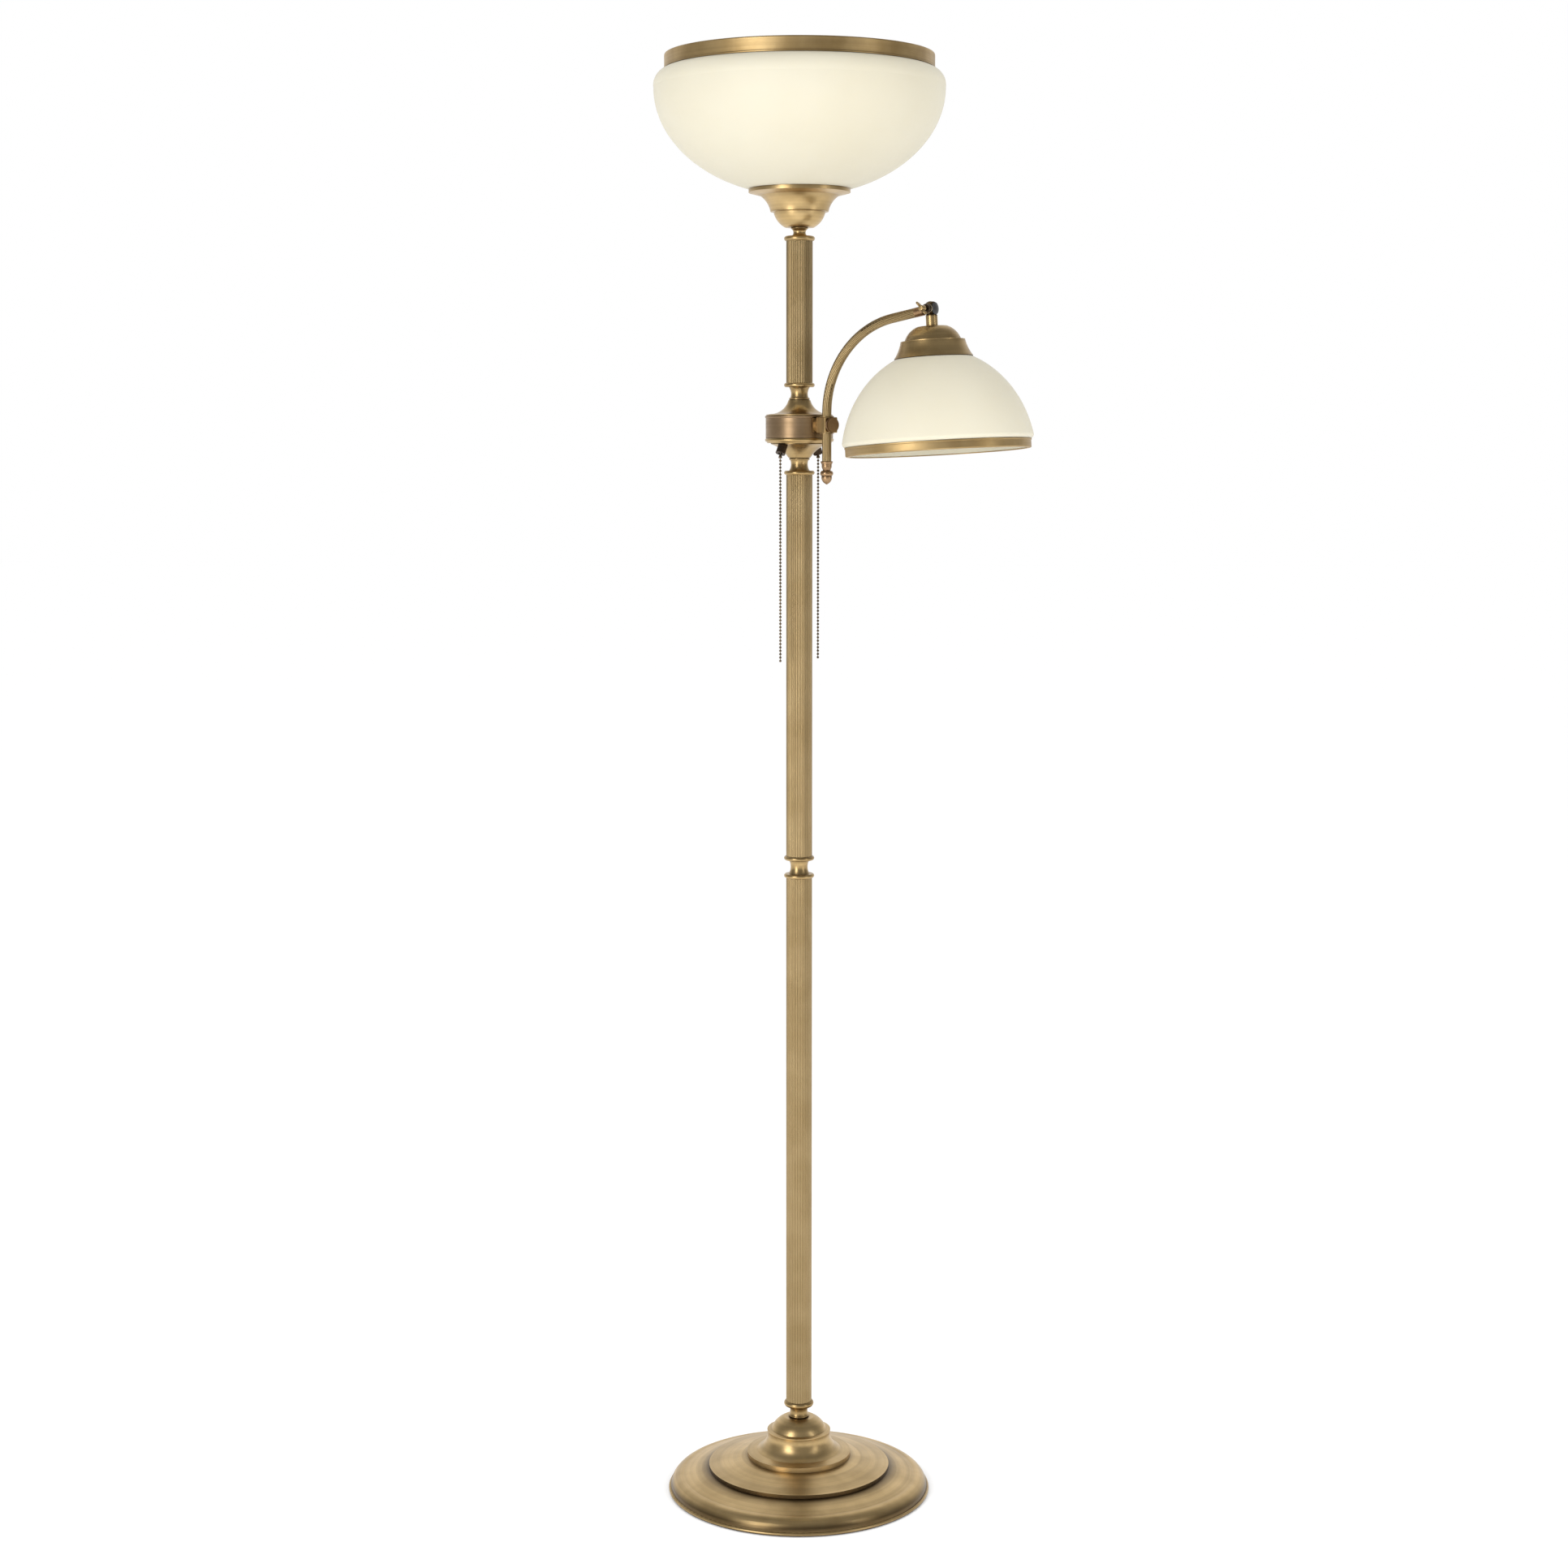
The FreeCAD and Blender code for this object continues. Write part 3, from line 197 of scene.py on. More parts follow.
def bump(material, shader, height, strength, depth):
    node = add_node(material, "Bump")
    node.inputs["Strength"].default_value = strength
    node.inputs["Distance"].default_value = depth
    join(material, height, node.inputs["Height"])
    join(material, node.outputs["Normal"], shader.inputs["Normal"])


# %% [markdown]
# ** Old brass** is brass that was darkened in a bath and then rubbed back. Three things make it: a warm olive
# gold that drifts a little from place to place, brown in corners and hollows, and the fine lines of the tool
# that rubbed it. One function joins these three for every brass part. The brown is partly patina and partly
# painted shade: it comes from ambient occlusion, which is dark in corners and under ledges, and each part
# adds its own.

# %% The layers of old brass
BRASS_LIGHT = (0.54, 0.385, 0.185)
BRASS_MID = (0.40, 0.272, 0.118)
BRASS_BROWN = (0.055, 0.033, 0.014)
TUBE_COLOURS = ((0.39, 0.285, 0.145), (0.33, 0.235, 0.112), BRASS_BROWN)
SPUN_COLOURS = ((0.66, 0.475, 0.235), (0.50, 0.35, 0.160), BRASS_BROWN)
COPPER_LIGHT = (0.41, 0.265, 0.145)
COPPER_MID = (0.29, 0.178, 0.092)
COPPER_BROWN = (0.07, 0.035, 0.018)
LINE_DEPTH = 0.05 * MM
DRAWN_LINE_DEPTH = 0.02 * MM


def patina_and_painted_shade(material, distance):
    """1 in the open, falling to 0 in corners and under ledges: patina and painted shade from ambient
    occlusion.
    """
    shade = add_node(material, "AmbientOcclusion", samples=8)
    shade.inputs["Distance"].default_value = distance
    return spread(material, shade.outputs["AO"], 0.30, 0.92)


def lay_brass(material, shader, place, lines, patina_and_shade, roughness, colours, line_depth=LINE_DEPTH):
    light, mid, brown = colours
    drift = noise(material, place, 24.0, 4.0)
    gold = blend_colours(material, spread(material, drift, 0.36, 0.64), mid, light)
    streaked = blend_colours(material, spread(material, lines, 0.30, 0.75, 0.0, 0.35), gold, mid)
    # Where the mask falls to 0 the colour goes brown: patina in hollows and painted shade.
    join(material, blend_colours(material, patina_and_shade, brown, streaked), shader.inputs["Base Color"])
    rough = spread(material, lines, 0.25, 0.75, roughness - 0.05, roughness + 0.07)
    join(material, rough, shader.inputs["Roughness"])
    bump(material, shader, lines, 0.12, line_depth)


# %% [markdown]
# Cups, collars, covers and rings are spun or turned, so their lines run round them. The lines come from
# noise that is stretched: it changes quickly along the axis and outwards, and hardly at all round the part.
# Spun brass also keeps broad bands, a little lighter and darker, where the tool pressed.

# Two parts keep more brown: a dark band lies between two heights, and a dark ring between two radii. On
# the base the band is patina with a painted dark reflection on the steep shoulder, and the ring is patina
# with painted shade in the low cove beside the step. On the tilt ball the band is its own dark patina.

# %% Turned brass
LATHE_RATES = (1600.0, 1600.0, 9.0)
BROAD_RATES = (150.0, 150.0, 3.0)
BAND_SHINE = 0.18
BAND_TOP_FADE = 6
RING_SHINE = 0.15
RING_EDGE = 0.3 * MM
# On the base's steep shoulder: patina and a painted dark reflection.
BASE_SHOULDER_PATINA_AND_REFLECTION = (6 * MM, 10.5 * MM, MM)
# In the low cove just outside the base's step: patina and painted shade.
BASE_COVE_PATINA_AND_SHADE = (118.8 * MM, 134 * MM)
# The drum's colours are a darker copy of the brass: painted shade that offsets a soft box's bright reflection
# on it.
DRUM_SHADED_COLOURS = ((0.36, 0.25, 0.148), (0.27, 0.182, 0.102), BRASS_BROWN)


def turned_brass(name, centre=ORIGIN, axis=UP, roughness=0.30, colours=None, corner=6 * MM,
                 dark_band=None, dark_ring=None):
    material, shader = start_material(name, roughness, 1.0)
    place = local_coordinates(material, centre, turn_to(axis))
    x, y, z = split(material, place)
    radius = length(material, x, y)
    lines = noise(material, stretched(material, (radius, z, x), LATHE_RATES), 1.0, 2.0)
    # Ambient occlusion darkens corners and the undersides of ledges: painted shade on top of the patina
    # there.
    patina_and_shade = patina_and_painted_shade(material, corner)
    broad = noise(material, stretched(material, (radius, z, x), BROAD_RATES), 1.0, 1.0)
    bands = spread(material, broad, 0.35, 0.65, 0.80, 1.0)
    patina_and_shade = maths(material, "MULTIPLY", patina_and_shade, bands)
    # Darker towards brown between two heights: on the base a painted dark reflection with patina, on the tilt
    # ball its own dark patina.
    if dark_band:
        low, high, edge = dark_band
        below = spread(material, z, low - edge, low, 1.0, 0.0)
        above = spread(material, z, high, high + BAND_TOP_FADE * edge, 0.0, 1.0)
        clear = maths(material, "MAXIMUM", below, above)
        kept = spread(material, clear, 0.0, 1.0, BAND_SHINE, 1.0)
        patina_and_shade = maths(material, "MULTIPLY", patina_and_shade, kept)
    # Darker towards brown between two radii: patina and painted shade in the base's cove.
    if dark_ring:
        inner, outer = dark_ring
        beyond = spread(material, radius, inner, outer, RING_SHINE, 1.0)
        inside = maths(material, "LESS_THAN", radius, inner - RING_EDGE)
        patina_and_shade = maths(material, "MULTIPLY", patina_and_shade, maths(material, "MAXIMUM", beyond, inside))
    colours = colours or (BRASS_LIGHT, BRASS_MID, BRASS_BROWN)
    lay_brass(material, shader, place, lines, patina_and_shade, roughness, colours)
    return material


column_brass = turned_brass("old brass, turned on the column")
cup_brass = turned_brass("old brass, spun cups", corner=9 * MM, roughness=0.32, colours=SPUN_COLOURS)
base_brass = turned_brass("old brass, spun base", corner=9 * MM, roughness=0.33, colours=SPUN_COLOURS,
                          dark_band=BASE_SHOULDER_PATINA_AND_REFLECTION, dark_ring=BASE_COVE_PATINA_AND_SHADE)
ring_brass = turned_brass("old brass, bowl ring", roughness=0.42, corner=3 * MM)
# The drum is painted darker than the column's brass, against a soft box's reflection.
drum_brass = turned_brass("old brass, satin drum", roughness=0.36, corner=4 * MM,
                          colours=DRUM_SHADED_COLOURS)
cap_brass = turned_brass("old brass, shade cap", pivot, shade_axis, corner=9 * MM, roughness=0.34)
shade_ring_brass = turned_brass("old brass, shade ring", pivot, shade_axis, roughness=0.42, corner=3 * MM)
print("finishes so far:", len(made))

# %% [markdown]
# The column is a reeded tube. Its crests are gold and its valleys brown, partly the patina that rubbing
# leaves in them and partly painted shade, so the brown follows the distance from the axis: brown at the
# valley's radius and gold at the crest's. The radius of the crests is half the tube's width.

# %% Reeded brass on the column
REED_DEPTH = 0.45 * MM
REED_ROUGHNESS = 0.28
REED_SHOULDER = 0.35
# The gold kept in the reed valleys; the rest is patina and painted shade.
VALLEY_SHINE = 0.12
DRAWN_RATES = (900.0, 900.0, 14.0)


def reeded_brass(name, part):
    low, high = corners(part)
    crest = (high.x - low.x) / 2
    material, shader = start_material(name, REED_ROUGHNESS, 1.0)
    place = local_coordinates(material, ORIGIN, turn_to(UP))
    x, y, z = split(material, place)
    # The valleys darken towards brown: patina and painted shade in the creases between reeds.
    depth = spread(material, length(material, x, y), crest - REED_DEPTH,
                   crest - REED_SHOULDER * REED_DEPTH, VALLEY_SHINE, 1.0)
    lines = noise(material, stretched(material, (x, y, z), DRAWN_RATES), 1.0, 2.0)
    lay_brass(material, shader, place, lines, depth, REED_ROUGHNESS, TUBE_COLOURS, DRAWN_LINE_DEPTH)
    print(name, "crests at", round(crest / MM, 2), "mm")
    return material


tube_brass = reeded_brass("old brass, reeded column", "lower_tube")

# %% [markdown]
# The arm is reeded too, but it bends, so the distance is measured from its bent centre line. In the arm's
# own plane the line is an upright, an arc and a straight that leaves the arc, and each stretch measures how
# far a point lies outside the arc's centre. The height picks the upright, and the side of the arc's end
# picks the straight.

# %% Reeded brass on the bent arm
ARM_BEND_R = 117 * MM
ARM_BEND_ANGLE = math.radians(79.8)
ARM_REED_DEPTH = 0.40 * MM
ARM_R = 5.85 * MM
# The gold kept in the arm's reed valleys; the rest is patina and painted shade.
ARM_VALLEY_SHINE = 0.10


def choose(material, test, when_no, when_yes):
    """Picks one of two numbers by a test that is 0 or 1."""
    kept = maths(material, "MULTIPLY", when_no, maths(material, "SUBTRACT", 1.0, test))
    return maths(material, "MULTIPLY_ADD", when_yes, test, kept)


def bend_start():
    """The height where the arm starts to bend: its straight leaves the arc and meets the pivot."""
    across = (pivot - arm_foot).dot(reach) - ARM_BEND_R * (1 - math.cos(ARM_BEND_ANGLE))
    climb = across / math.tan(ARM_BEND_ANGLE)
    return pivot.z - climb - ARM_BEND_R * math.sin(ARM_BEND_ANGLE)


def arm_brass(name):
    material, shader = start_material(name, REED_ROUGHNESS, 1.0)
    centre = arm_foot + reach * ARM_BEND_R
    centre.z = bend_start()
    place = local_coordinates(material, centre, (0, 0, math.atan2(reach.y, reach.x)))
    x, y, z = split(material, place)
    upright = maths(material, "MULTIPLY", x, -1.0)
    arc = length(material, x, z)
    sine, cosine = math.sin(ARM_BEND_ANGLE), math.cos(ARM_BEND_ANGLE)
    straight = maths(material, "SUBTRACT", maths(material, "MULTIPLY", z, sine),
                     maths(material, "MULTIPLY", x, cosine))
    along = maths(material, "ADD", maths(material, "MULTIPLY", x, sine),
                  maths(material, "MULTIPLY", z, cosine))
    out = choose(material, maths(material, "GREATER_THAN", along, 0.0), arc, straight)
    out = choose(material, maths(material, "LESS_THAN", z, 0.0), out, upright)
    from_line = length(material, maths(material, "SUBTRACT", out, ARM_BEND_R), y)
    # The valleys darken towards brown: patina and painted shade in the creases between reeds.
    depth = spread(material, from_line, ARM_R - ARM_REED_DEPTH,
                   ARM_R - REED_SHOULDER * ARM_REED_DEPTH, ARM_VALLEY_SHINE, 1.0)
    lines = noise(material, place, 9.0, 2.0)
    lay_brass(material, shader, place, lines, depth, REED_ROUGHNESS, TUBE_COLOURS, DRAWN_LINE_DEPTH)
    print(name, "bends from", round(centre.z, 4), "m up")
    return material


arm_tube_brass = arm_brass("old brass, reeded arm")

# %% [markdown]
# The small cast pieces of the clamp and the tilt joint are redder: they were left with a coppery brown, and
# only their edges shine. The chains, the nuts and the switches are nearly black from handling.

# %% Coppery, bronzed and plain brass
COPPER = (COPPER_LIGHT, COPPER_MID, COPPER_BROWN)
BRONZE = ((0.115, 0.080, 0.050), (0.060, 0.040, 0.026), (0.018, 0.012, 0.009))
CHAIN_BRONZE = ((0.26, 0.19, 0.12), (0.13, 0.095, 0.06), (0.03, 0.022, 0.015))
PALE_BRASS = ((0.70, 0.60, 0.42), (0.56, 0.46, 0.30), BRASS_BROWN)
BALL_BAND = (-8.6 * MM, 10 * MM, 0.4 * MM)
finial_copper = turned_brass("coppery brass, finial", arm_foot, UP, 0.30, COPPER, 5 * MM)
knob_copper = turned_brass("coppery brass, clamp knob", middle("clamp_knob"), clamp_axis, 0.30, COPPER,
                           3 * MM)
joint_copper = turned_brass("coppery brass, tilt joint", pivot, tilt_axis, 0.32, COPPER, 4 * MM)
knuckle_brass = turned_brass("old brass, dark tilt ball", pivot, shade_axis, 0.32, corner=3 * MM,
                             dark_band=BALL_BAND)
tilt_bronze = turned_brass("bronzed brass, tilt nut", pivot, tilt_axis, 0.34, BRONZE, 3 * MM)
washer_brass = turned_brass("pale brass, washer", pivot, tilt_axis, 0.25, PALE_BRASS, 2 * MM)
wing_brass = turned_brass("old brass, wing screw", pivot, tilt_axis, 0.34, corner=4 * MM)
block_brass = turned_brass("old brass, clamp block", middle("clamp_block"), clamp_axis, 0.34,
                           corner=5 * MM)
nut_bronze = turned_brass("bronzed brass, switch nuts", roughness=0.36, colours=BRONZE, corner=2 * MM)
chain_bronze = turned_brass("bronzed brass, chains", roughness=0.28, colours=CHAIN_BRONZE, corner=2 * MM)
print("finishes so far:", len(made))

# %% [markdown]
# **Opal glass** is milky all through, so light sinks in a little and comes out softened. The shader has 4
# mm of subsurface scattering, at about a third of full strength, under a satin surface. Blown glass is
# never even, so the cream drifts slightly, and a thin green tint gathers where the wall is seen edge on.

# %% Opal glass
OPAL = (0.580, 0.545, 0.435)
OPAL_DEEP = (0.560, 0.522, 0.408)
OPAL_EDGE = (0.38, 0.39, 0.31)
OPAL_SCATTER = 4 * MM
OPAL_RIPPLE = 0.4 * MM


def opal_glass(name, centre, axis):
    material, shader = start_material(name, 0.55)
    place = local_coordinates(material, centre, turn_to(axis))
    drift = noise(material, place, 7.0, 2.0)
    cream = blend_colours(material, spread(material, drift, 0.35, 0.65), OPAL_DEEP, OPAL)
    facing = add_node(material, "LayerWeight")
    facing.inputs["Blend"].default_value = 0.25
    edge = spread(material, facing.outputs["Facing"], 0.80, 1.0, 0.0, 0.75)
    join(material, blend_colours(material, edge, cream, OPAL_EDGE), shader.inputs["Base Color"])
    grain = noise(material, place, 220.0, 3.0)
    join(material, spread(material, grain, 0.3, 0.7, 0.50, 0.60), shader.inputs["Roughness"])
    bump(material, shader, noise(material, place, 30.0, 1.0), 0.05, OPAL_RIPPLE)
    shader.inputs["Subsurface Weight"].default_value = 0.35
    shader.inputs["Subsurface Radius"].default_value = (1.0, 0.9, 0.7)
    shader.inputs["Subsurface Scale"].default_value = OPAL_SCATTER
    return material


bowl_opal = opal_glass("opal glass, bowl", ORIGIN, UP)
shade_opal = opal_glass("opal glass, shade", pivot, shade_axis)

# %% [markdown]
# The rest are plain materials that are hardly seen: black moulded plastic, zinc-plated steel, a painted
# casting, foam rubber and cable. Each still has a little unevenness, because a perfectly even surface looks
# wrong when the lamp is turned over. A bulb is two materials in one part, so the height along its axis
# picks between the frosted glass and the metal cap.

# %% Plain materials
def mottled(name, light, dark, roughness, metallic=0.0, scale=120.0, depth=0.05 * MM):
    material, shader = start_material(name, roughness, metallic)
    place = add_node(material, "TexCoord").outputs["Object"]
    grain = noise(material, place, scale, 4.0)
    join(material, blend_colours(material, spread(material, grain, 0.35, 0.65), dark, light),
         shader.inputs["Base Color"])
    rough = spread(material, grain, 0.3, 0.7, roughness - 0.06, roughness + 0.06)
    join(material, rough, shader.inputs["Roughness"])
    bump(material, shader, grain, 0.15, depth)
    return material


black_plastic = mottled("black plastic", (0.028, 0.027, 0.027), (0.018, 0.017, 0.017), 0.32)
steel = mottled("zinc-plated steel", (0.60, 0.60, 0.62), (0.46, 0.46, 0.48), 0.34, 1.0, 300.0)
cast_iron = mottled("black casting", (0.050, 0.049, 0.047), (0.030, 0.029, 0.028), 0.62, 0.0, 260.0, 0.4 * MM)
foam = mottled("foam rubber", (0.045, 0.044, 0.043), (0.028, 0.028, 0.028), 0.85, 0.0, 900.0, 0.3 * MM)
cable = mottled("cable", (0.66, 0.58, 0.42), (0.55, 0.48, 0.34), 0.50)

# %% Bulbs
CAP_LENGTH = 25 * MM
CAP_EDGE = 0.2 * MM
THREAD_PITCH = 3.6 * MM
THREAD_DEPTH = 0.6 * MM
FROST_DIM = (0.88, 0.88, 0.86)
FROST_BRIGHT = (0.94, 0.94, 0.92)
CAP_METAL = (0.55, 0.54, 0.50)


def bulb_material(name, part, axis):
    """Frosted glass beyond the screw cap; the axis points from the cap to the glass."""
    low, high = corners(part)
    centre = (low + high) / 2
    half = abs((high - low).dot(UP)) / 2
    material, shader = start_material(name, 0.38)
    place = local_coordinates(material, centre - axis * half, turn_to(axis))
    height = split(material, place)[2]
    is_glass = maths(material, "GREATER_THAN", height, CAP_LENGTH + CAP_EDGE)
    frost = noise(material, place, 60.0, 3.0)
    white = blend_colours(material, spread(material, frost, 0.3, 0.7), FROST_DIM, FROST_BRIGHT)
    join(material, blend_colours(material, is_glass, CAP_METAL, white), shader.inputs["Base Color"])
    join(material, maths(material, "SUBTRACT", 1.0, is_glass), shader.inputs["Metallic"])
    thread = maths(material, "SINE", maths(material, "MULTIPLY", height, 2 * math.pi / THREAD_PITCH))
    bump(material, shader, maths(material, "MULTIPLY", thread, maths(material, "SUBTRACT", 1.0, is_glass)),
         0.4, THREAD_DEPTH)
    return material


top_bulb_finish = bulb_material("frosted bulb, bowl", "top_bulb", UP)
lower_bulb_finish = bulb_material("frosted bulb, shade", "lower_bulb", -shade_axis)

# %% Give each part its finish
def finish_parts(material, *names):
    """Puts one material on CAD parts, in place of the plain one they came with."""
    for name in names:
        slots = nodes[name].data.materials
        slots.clear()
        slots.append(material)


finish_parts(column_brass, "lower_collar", "middle_collar", "housing_lower_collar", "housing_upper_collar",
             "top_collar", "top_shade_ring", "housing_lower_cover", "housing_upper_cover")
finish_parts(cup_brass, "base_bell", "top_cup")
finish_parts(base_brass, "base_shell")
finish_parts(tube_brass, "lower_tube", "middle_tube", "upper_tube")
finish_parts(ring_brass, "bowl_ring")
finish_parts(drum_brass, "housing_drum")
finish_parts(cap_brass, "head_cap", "lower_shade_ring")
finish_parts(shade_ring_brass, "lower_ring")
finish_parts(arm_tube_brass, "arm_tube")
finish_parts(block_brass, "clamp_block", "bracket_plate", "bracket_spacer", "arm_bush")
finish_parts(knob_copper, "clamp_knob")
finish_parts(finial_copper, "arm_finial")
finish_parts(joint_copper, "arm_end", "wing_screw")
finish_parts(knuckle_brass, "head_knuckle")
finish_parts(tilt_bronze, "tilt_nut")
finish_parts(washer_brass, "tilt_washer")
finish_parts(nut_bronze, "left_switch_nut", "right_switch_nut")
finish_parts(chain_bronze, "left_pull_link", "right_pull_link", "left_chain", "right_chain")
finish_parts(bowl_opal, "bowl_glass")
finish_parts(shade_opal, "lower_glass")
finish_parts(top_bulb_finish, "top_bulb")
finish_parts(lower_bulb_finish, "lower_bulb")
finish_parts(black_plastic, "knuckle_plug", "left_switch", "right_switch", "terminal_block", "cord_bushing",
             "top_lampholder", "lower_lampholder")
finish_parts(steel, "tie_tube_lower", "tie_tube_upper", "housing_spacer", "base_washer", "base_lock_nut",
             "top_lock_nut", "bracket_bolt")
finish_parts(cast_iron, "base_weight")
finish_parts(foam, "base_pad")
finish_parts(cable, "column_cables", "arm_cable")
print("finishes in all:", len(made))

# %% [markdown]
# ## Bead chains
# A bead chain is hollow beads threaded on short dumbbell links: the link's stem shows between two beads, and
# each bead has a small hole where the stem goes in. The bead here is a sphere whose poles are pushed in
# where the holes are, the stem is a thin cylinder, and an Array modifier repeats the pair down the chain.
# The sphere is coarse, 12 faces round and 8 down, because the two chains have 120 beads.

# %% Bead chains
BEAD_R = 1.6 * MM
BEAD_PITCH = 4.3 * MM
BEADS = 60
STEM_R = 0.45 * MM
FIRST_BEAD = 2.6 * MM
POLE = 0.99
PUSHED_IN = 0.84
STEM_HIDDEN = 1.7


def clear_selection():
    bpy.ops.object.select_all(action="DESELECT")


def settle(piece):
    """Puts a piece's place into its mesh, so that the object itself is at the origin."""
    clear_selection()
    piece.select_set(True)
    bpy.context.view_layer.objects.active = piece
    bpy.ops.object.transform_apply(location=True, rotation=True, scale=True)


def merge(pieces, name):
    clear_selection()
    for piece in pieces:
        piece.select_set(True)
    bpy.context.view_layer.objects.active = pieces[0]
    bpy.ops.object.join()
    merged = bpy.context.object
    merged.name = name
    merged.data.name = name
    return merged


def bead_chain(side):
    low, high = corners(side + "_chain")
    x, y = (low.x + high.x) / 2, (low.y + high.y) / 2
    clear_selection()
    bpy.ops.mesh.primitive_uv_sphere_add(segments=12, ring_count=8, radius=BEAD_R,
                                         location=(x, y, high.z - FIRST_BEAD))
    bead = bpy.context.object
    for vertex in bead.data.vertices:
        if abs(vertex.co.z) > POLE * BEAD_R:
            vertex.co.z *= PUSHED_IN
    bpy.ops.object.shade_smooth()
    stem_length = BEAD_PITCH - STEM_HIDDEN * BEAD_R
    clear_selection()
    bpy.ops.mesh.primitive_cylinder_add(vertices=8, radius=STEM_R, depth=stem_length,
                                        location=(x, y, high.z - FIRST_BEAD + BEAD_PITCH / 2))
    stem = bpy.context.object
    bpy.ops.object.shade_smooth_by_angle(angle=math.radians(40))
    piece = merge([bead, stem], side + "_bead_chain")
    settle(piece)
    row = piece.modifiers.new("row", "ARRAY")
    row.count = BEADS
    row.use_relative_offset = False
    row.use_constant_offset = True
    row.constant_offset_displace = (0, 0, -BEAD_PITCH)
    bpy.ops.object.modifier_apply(modifier=row.name)
    piece.data.materials.append(chain_bronze)
    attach(piece, side + "_chain")
    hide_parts(side + "_chain")
    print(piece.name, "has", len(piece.data.polygons), "faces")


bead_chain("left")
bead_chain("right")

# %% [markdown]
# ## Wing screw
# The tilt joint is tightened by a small cast wing screw. Casting rounds everything, so the wings start as
# flat discs, are pulled to ovals, get their thickness from a Solidify modifier, and are rounded by a Bevel
# modifier. The hub is a cylinder whose outer edge is bevelled.

# %% Wing screw
HUB_OUT = 21.5 * MM
HUB_LENGTH = 8.0 * MM
HUB_R = 3.6 * MM
HUB_ROUND = 1.1 * MM
WING_REACH = 5.6 * MM
WING_DROP = 0.42
WING_ROUND = 0.8 * MM
WING_LONG = 4.9 * MM
WING_WIDE = 3.3 * MM
WING_THICK = 2.0 * MM
WING_LEAN = math.radians(24)
WINGS_TURNED = math.radians(48)


def wing_screw():
    outer = pivot + tilt_axis * HUB_OUT
    clear_selection()
    bpy.ops.mesh.primitive_cylinder_add(vertices=32, radius=HUB_R, depth=HUB_LENGTH,
                                        location=(0, 0, -HUB_LENGTH / 2))
    hub = bpy.context.object
    bpy.ops.object.mode_set(mode="EDIT")
    bpy.ops.mesh.select_all(action="DESELECT")
    bpy.ops.object.mode_set(mode="OBJECT")
    for edge in hub.data.edges:
        ends = [hub.data.vertices[v].co.z for v in edge.vertices]
        edge.select = min(ends) > 0.49 * HUB_LENGTH
    bpy.ops.object.mode_set(mode="EDIT")
    bpy.ops.mesh.select_mode(type="EDGE")
    bpy.ops.mesh.bevel(offset=HUB_ROUND, segments=4)
    bpy.ops.object.mode_set(mode="OBJECT")
    bpy.ops.object.shade_smooth_by_angle(angle=math.radians(50))
    pieces = [hub]
    for side in (1, -1):
        clear_selection()
        bpy.ops.mesh.primitive_circle_add(vertices=20, radius=1.0, fill_type="NGON",
                                          location=(side * WING_REACH, 0, -HUB_LENGTH * WING_DROP),
                                          rotation=(math.radians(90), side * -WING_LEAN, 0))
        wing = bpy.context.object
        wing.scale = (WING_LONG, WING_WIDE, 1.0)
        settle(wing)
        solid = wing.modifiers.new("thickness", "SOLIDIFY")
        solid.thickness = WING_THICK
        solid.offset = 0.0
        bpy.ops.object.modifier_apply(modifier=solid.name)
        rounded = wing.modifiers.new("rounded", "BEVEL")
        rounded.width = WING_ROUND
        rounded.segments = 3
        bpy.ops.object.modifier_apply(modifier=rounded.name)
        bpy.ops.object.shade_smooth_by_angle(angle=math.radians(60))
        pieces.append(wing)
    piece = merge(pieces, "cast_wing_screw")
    wings_along = (reach * math.cos(WINGS_TURNED) - UP * math.sin(WINGS_TURNED)).normalized()
    stand = Matrix((wings_along, tilt_axis.cross(wings_along), tilt_axis)).transposed().to_4x4()
    piece.matrix_world = Matrix.Translation(outer) @ stand
    settle(piece)
    piece.data.materials.append(wing_brass)
    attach(piece, "wing_screw")
    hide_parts("wing_screw")
    print(piece.name, "has", len(piece.data.polygons), "faces")


wing_screw()

# %% [markdown]
# ## The studio
# The lamp stands on white paper under a big soft sky. Metal shows what it reflects, so the sky that the
# reflections see is its own: pale behind the lamp, which draws the outlines, and dim towards the front,
# which gives the brass its depth. Two upright soft boxes draw the bright lines down the column, and two
# fills brighten the rest without showing in the metal.

# %% Floor and sky
FLOOR_SIZE = 60.0
SKY = 1.0
SKY_FRONT = 0.27
FRONT_ENDS = 0.10
BACK_STARTS = 0.95

clear_selection()
bpy.ops.mesh.primitive_plane_add(size=FLOOR_SIZE, location=(0, 0, 0))
floor = bpy.context.object
floor.name = "floor"
paper, paper_shader = start_material("white paper", 0.9)
paper_shader.inputs["Base Color"].default_value = (1.0, 1.0, 1.0, 1)
paper_shader.inputs["Specular IOR Level"].default_value = 0.0
floor.data.materials.append(paper)

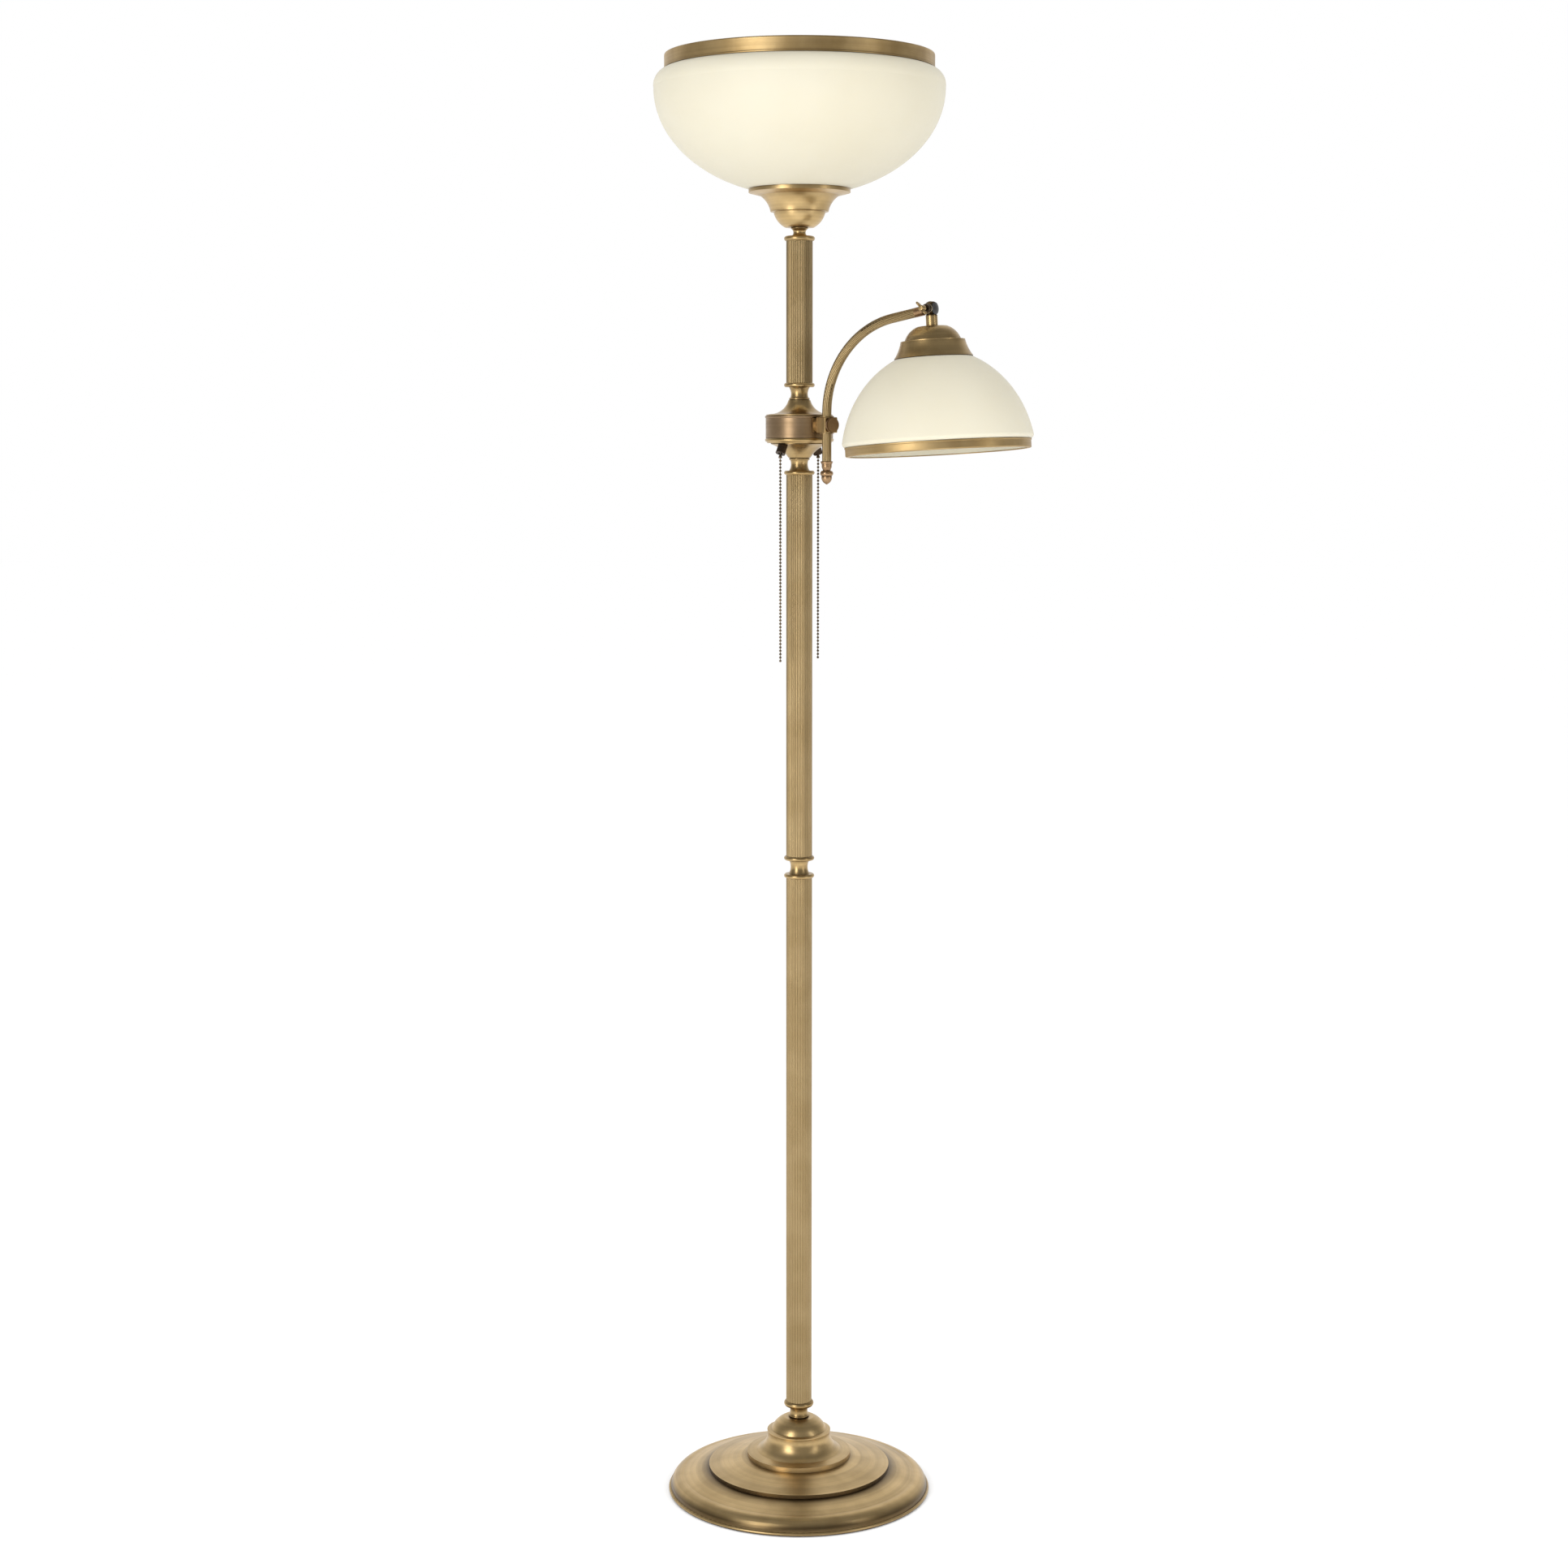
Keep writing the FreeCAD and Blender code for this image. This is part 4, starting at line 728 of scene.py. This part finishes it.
world = bpy.data.worlds.new("studio")
bpy.context.scene.world = world
world.use_nodes = True
tree = world.node_tree
backdrop = tree.nodes["Background"]
direction = tree.nodes.new("ShaderNodeTexCoord")
parts = tree.nodes.new("ShaderNodeSeparateXYZ")
tree.links.new(direction.outputs["Generated"], parts.inputs["Vector"])
front_to_back = tree.nodes.new("ShaderNodeMapRange")
front_to_back.interpolation_type = "SMOOTHSTEP"
tree.links.new(parts.outputs["Y"], front_to_back.inputs["Value"])
for name, number in (("From Min", FRONT_ENDS), ("From Max", BACK_STARTS),
                     ("To Min", SKY_FRONT), ("To Max", SKY)):
    front_to_back.inputs[name].default_value = number
ray = tree.nodes.new("ShaderNodeLightPath")
seen = tree.nodes.new("ShaderNodeMix")
tree.links.new(ray.outputs["Is Glossy Ray"], seen.inputs["Factor"])
seen.inputs["A"].default_value = SKY
tree.links.new(front_to_back.outputs["Result"], seen.inputs["B"])
tree.links.new(seen.outputs["Result"], backdrop.inputs["Strength"])
backdrop.inputs["Color"].default_value = (1, 1, 1, 1)
print("sky in the metal:", SKY_FRONT, "in front and", SKY, "behind")

# %% Lights and camera
LENS = 63.03
LENS_SHIFT = -0.0350
CAMERA_PLACE = (-0.0196, -3.5175, 1.3681)
CAMERA_DIP = math.radians(5.828)


def soft_box(name, place, target, width, height, power, shows_in_metal=True):
    light = bpy.data.lights.new(name, "AREA")
    light.shape = "RECTANGLE"
    light.size = width
    light.size_y = height
    light.energy = power
    lamp = bpy.data.objects.new(name, light)
    bpy.context.collection.objects.link(lamp)
    lamp.location = place
    lamp.rotation_euler = (Vector(target) - Vector(place)).to_track_quat("-Z", "Y").to_euler()
    lamp.visible_glossy = shows_in_metal


soft_box("left soft box", (-2.0, -2.6, 1.5), (0, 0, 1.0), 1.1, 2.8, 48)
soft_box("right soft box", (2.6, -1.6, 1.4), (0, 0, 1.0), 0.4, 2.4, 8)
soft_box("right fill", (2.4, -1.8, 1.9), (0, 0, 1.7), 1.5, 1.5, 14, shows_in_metal=False)
soft_box("low fill", (0.3, -1.8, 0.25), (0, 0, 1.6), 1.8, 0.8, 14, shows_in_metal=False)

camera_data = bpy.data.cameras.new("camera")
camera = bpy.data.objects.new("camera", camera_data)
bpy.context.collection.objects.link(camera)
bpy.context.scene.camera = camera
camera_data.lens = LENS
camera_data.shift_y = LENS_SHIFT
camera.location = CAMERA_PLACE
camera.rotation_euler = (math.radians(90) - CAMERA_DIP, 0, 0)
bpy.context.scene.view_settings.view_transform = "Standard"
print("camera at", CAMERA_PLACE, "with a lens of", LENS, "mm")
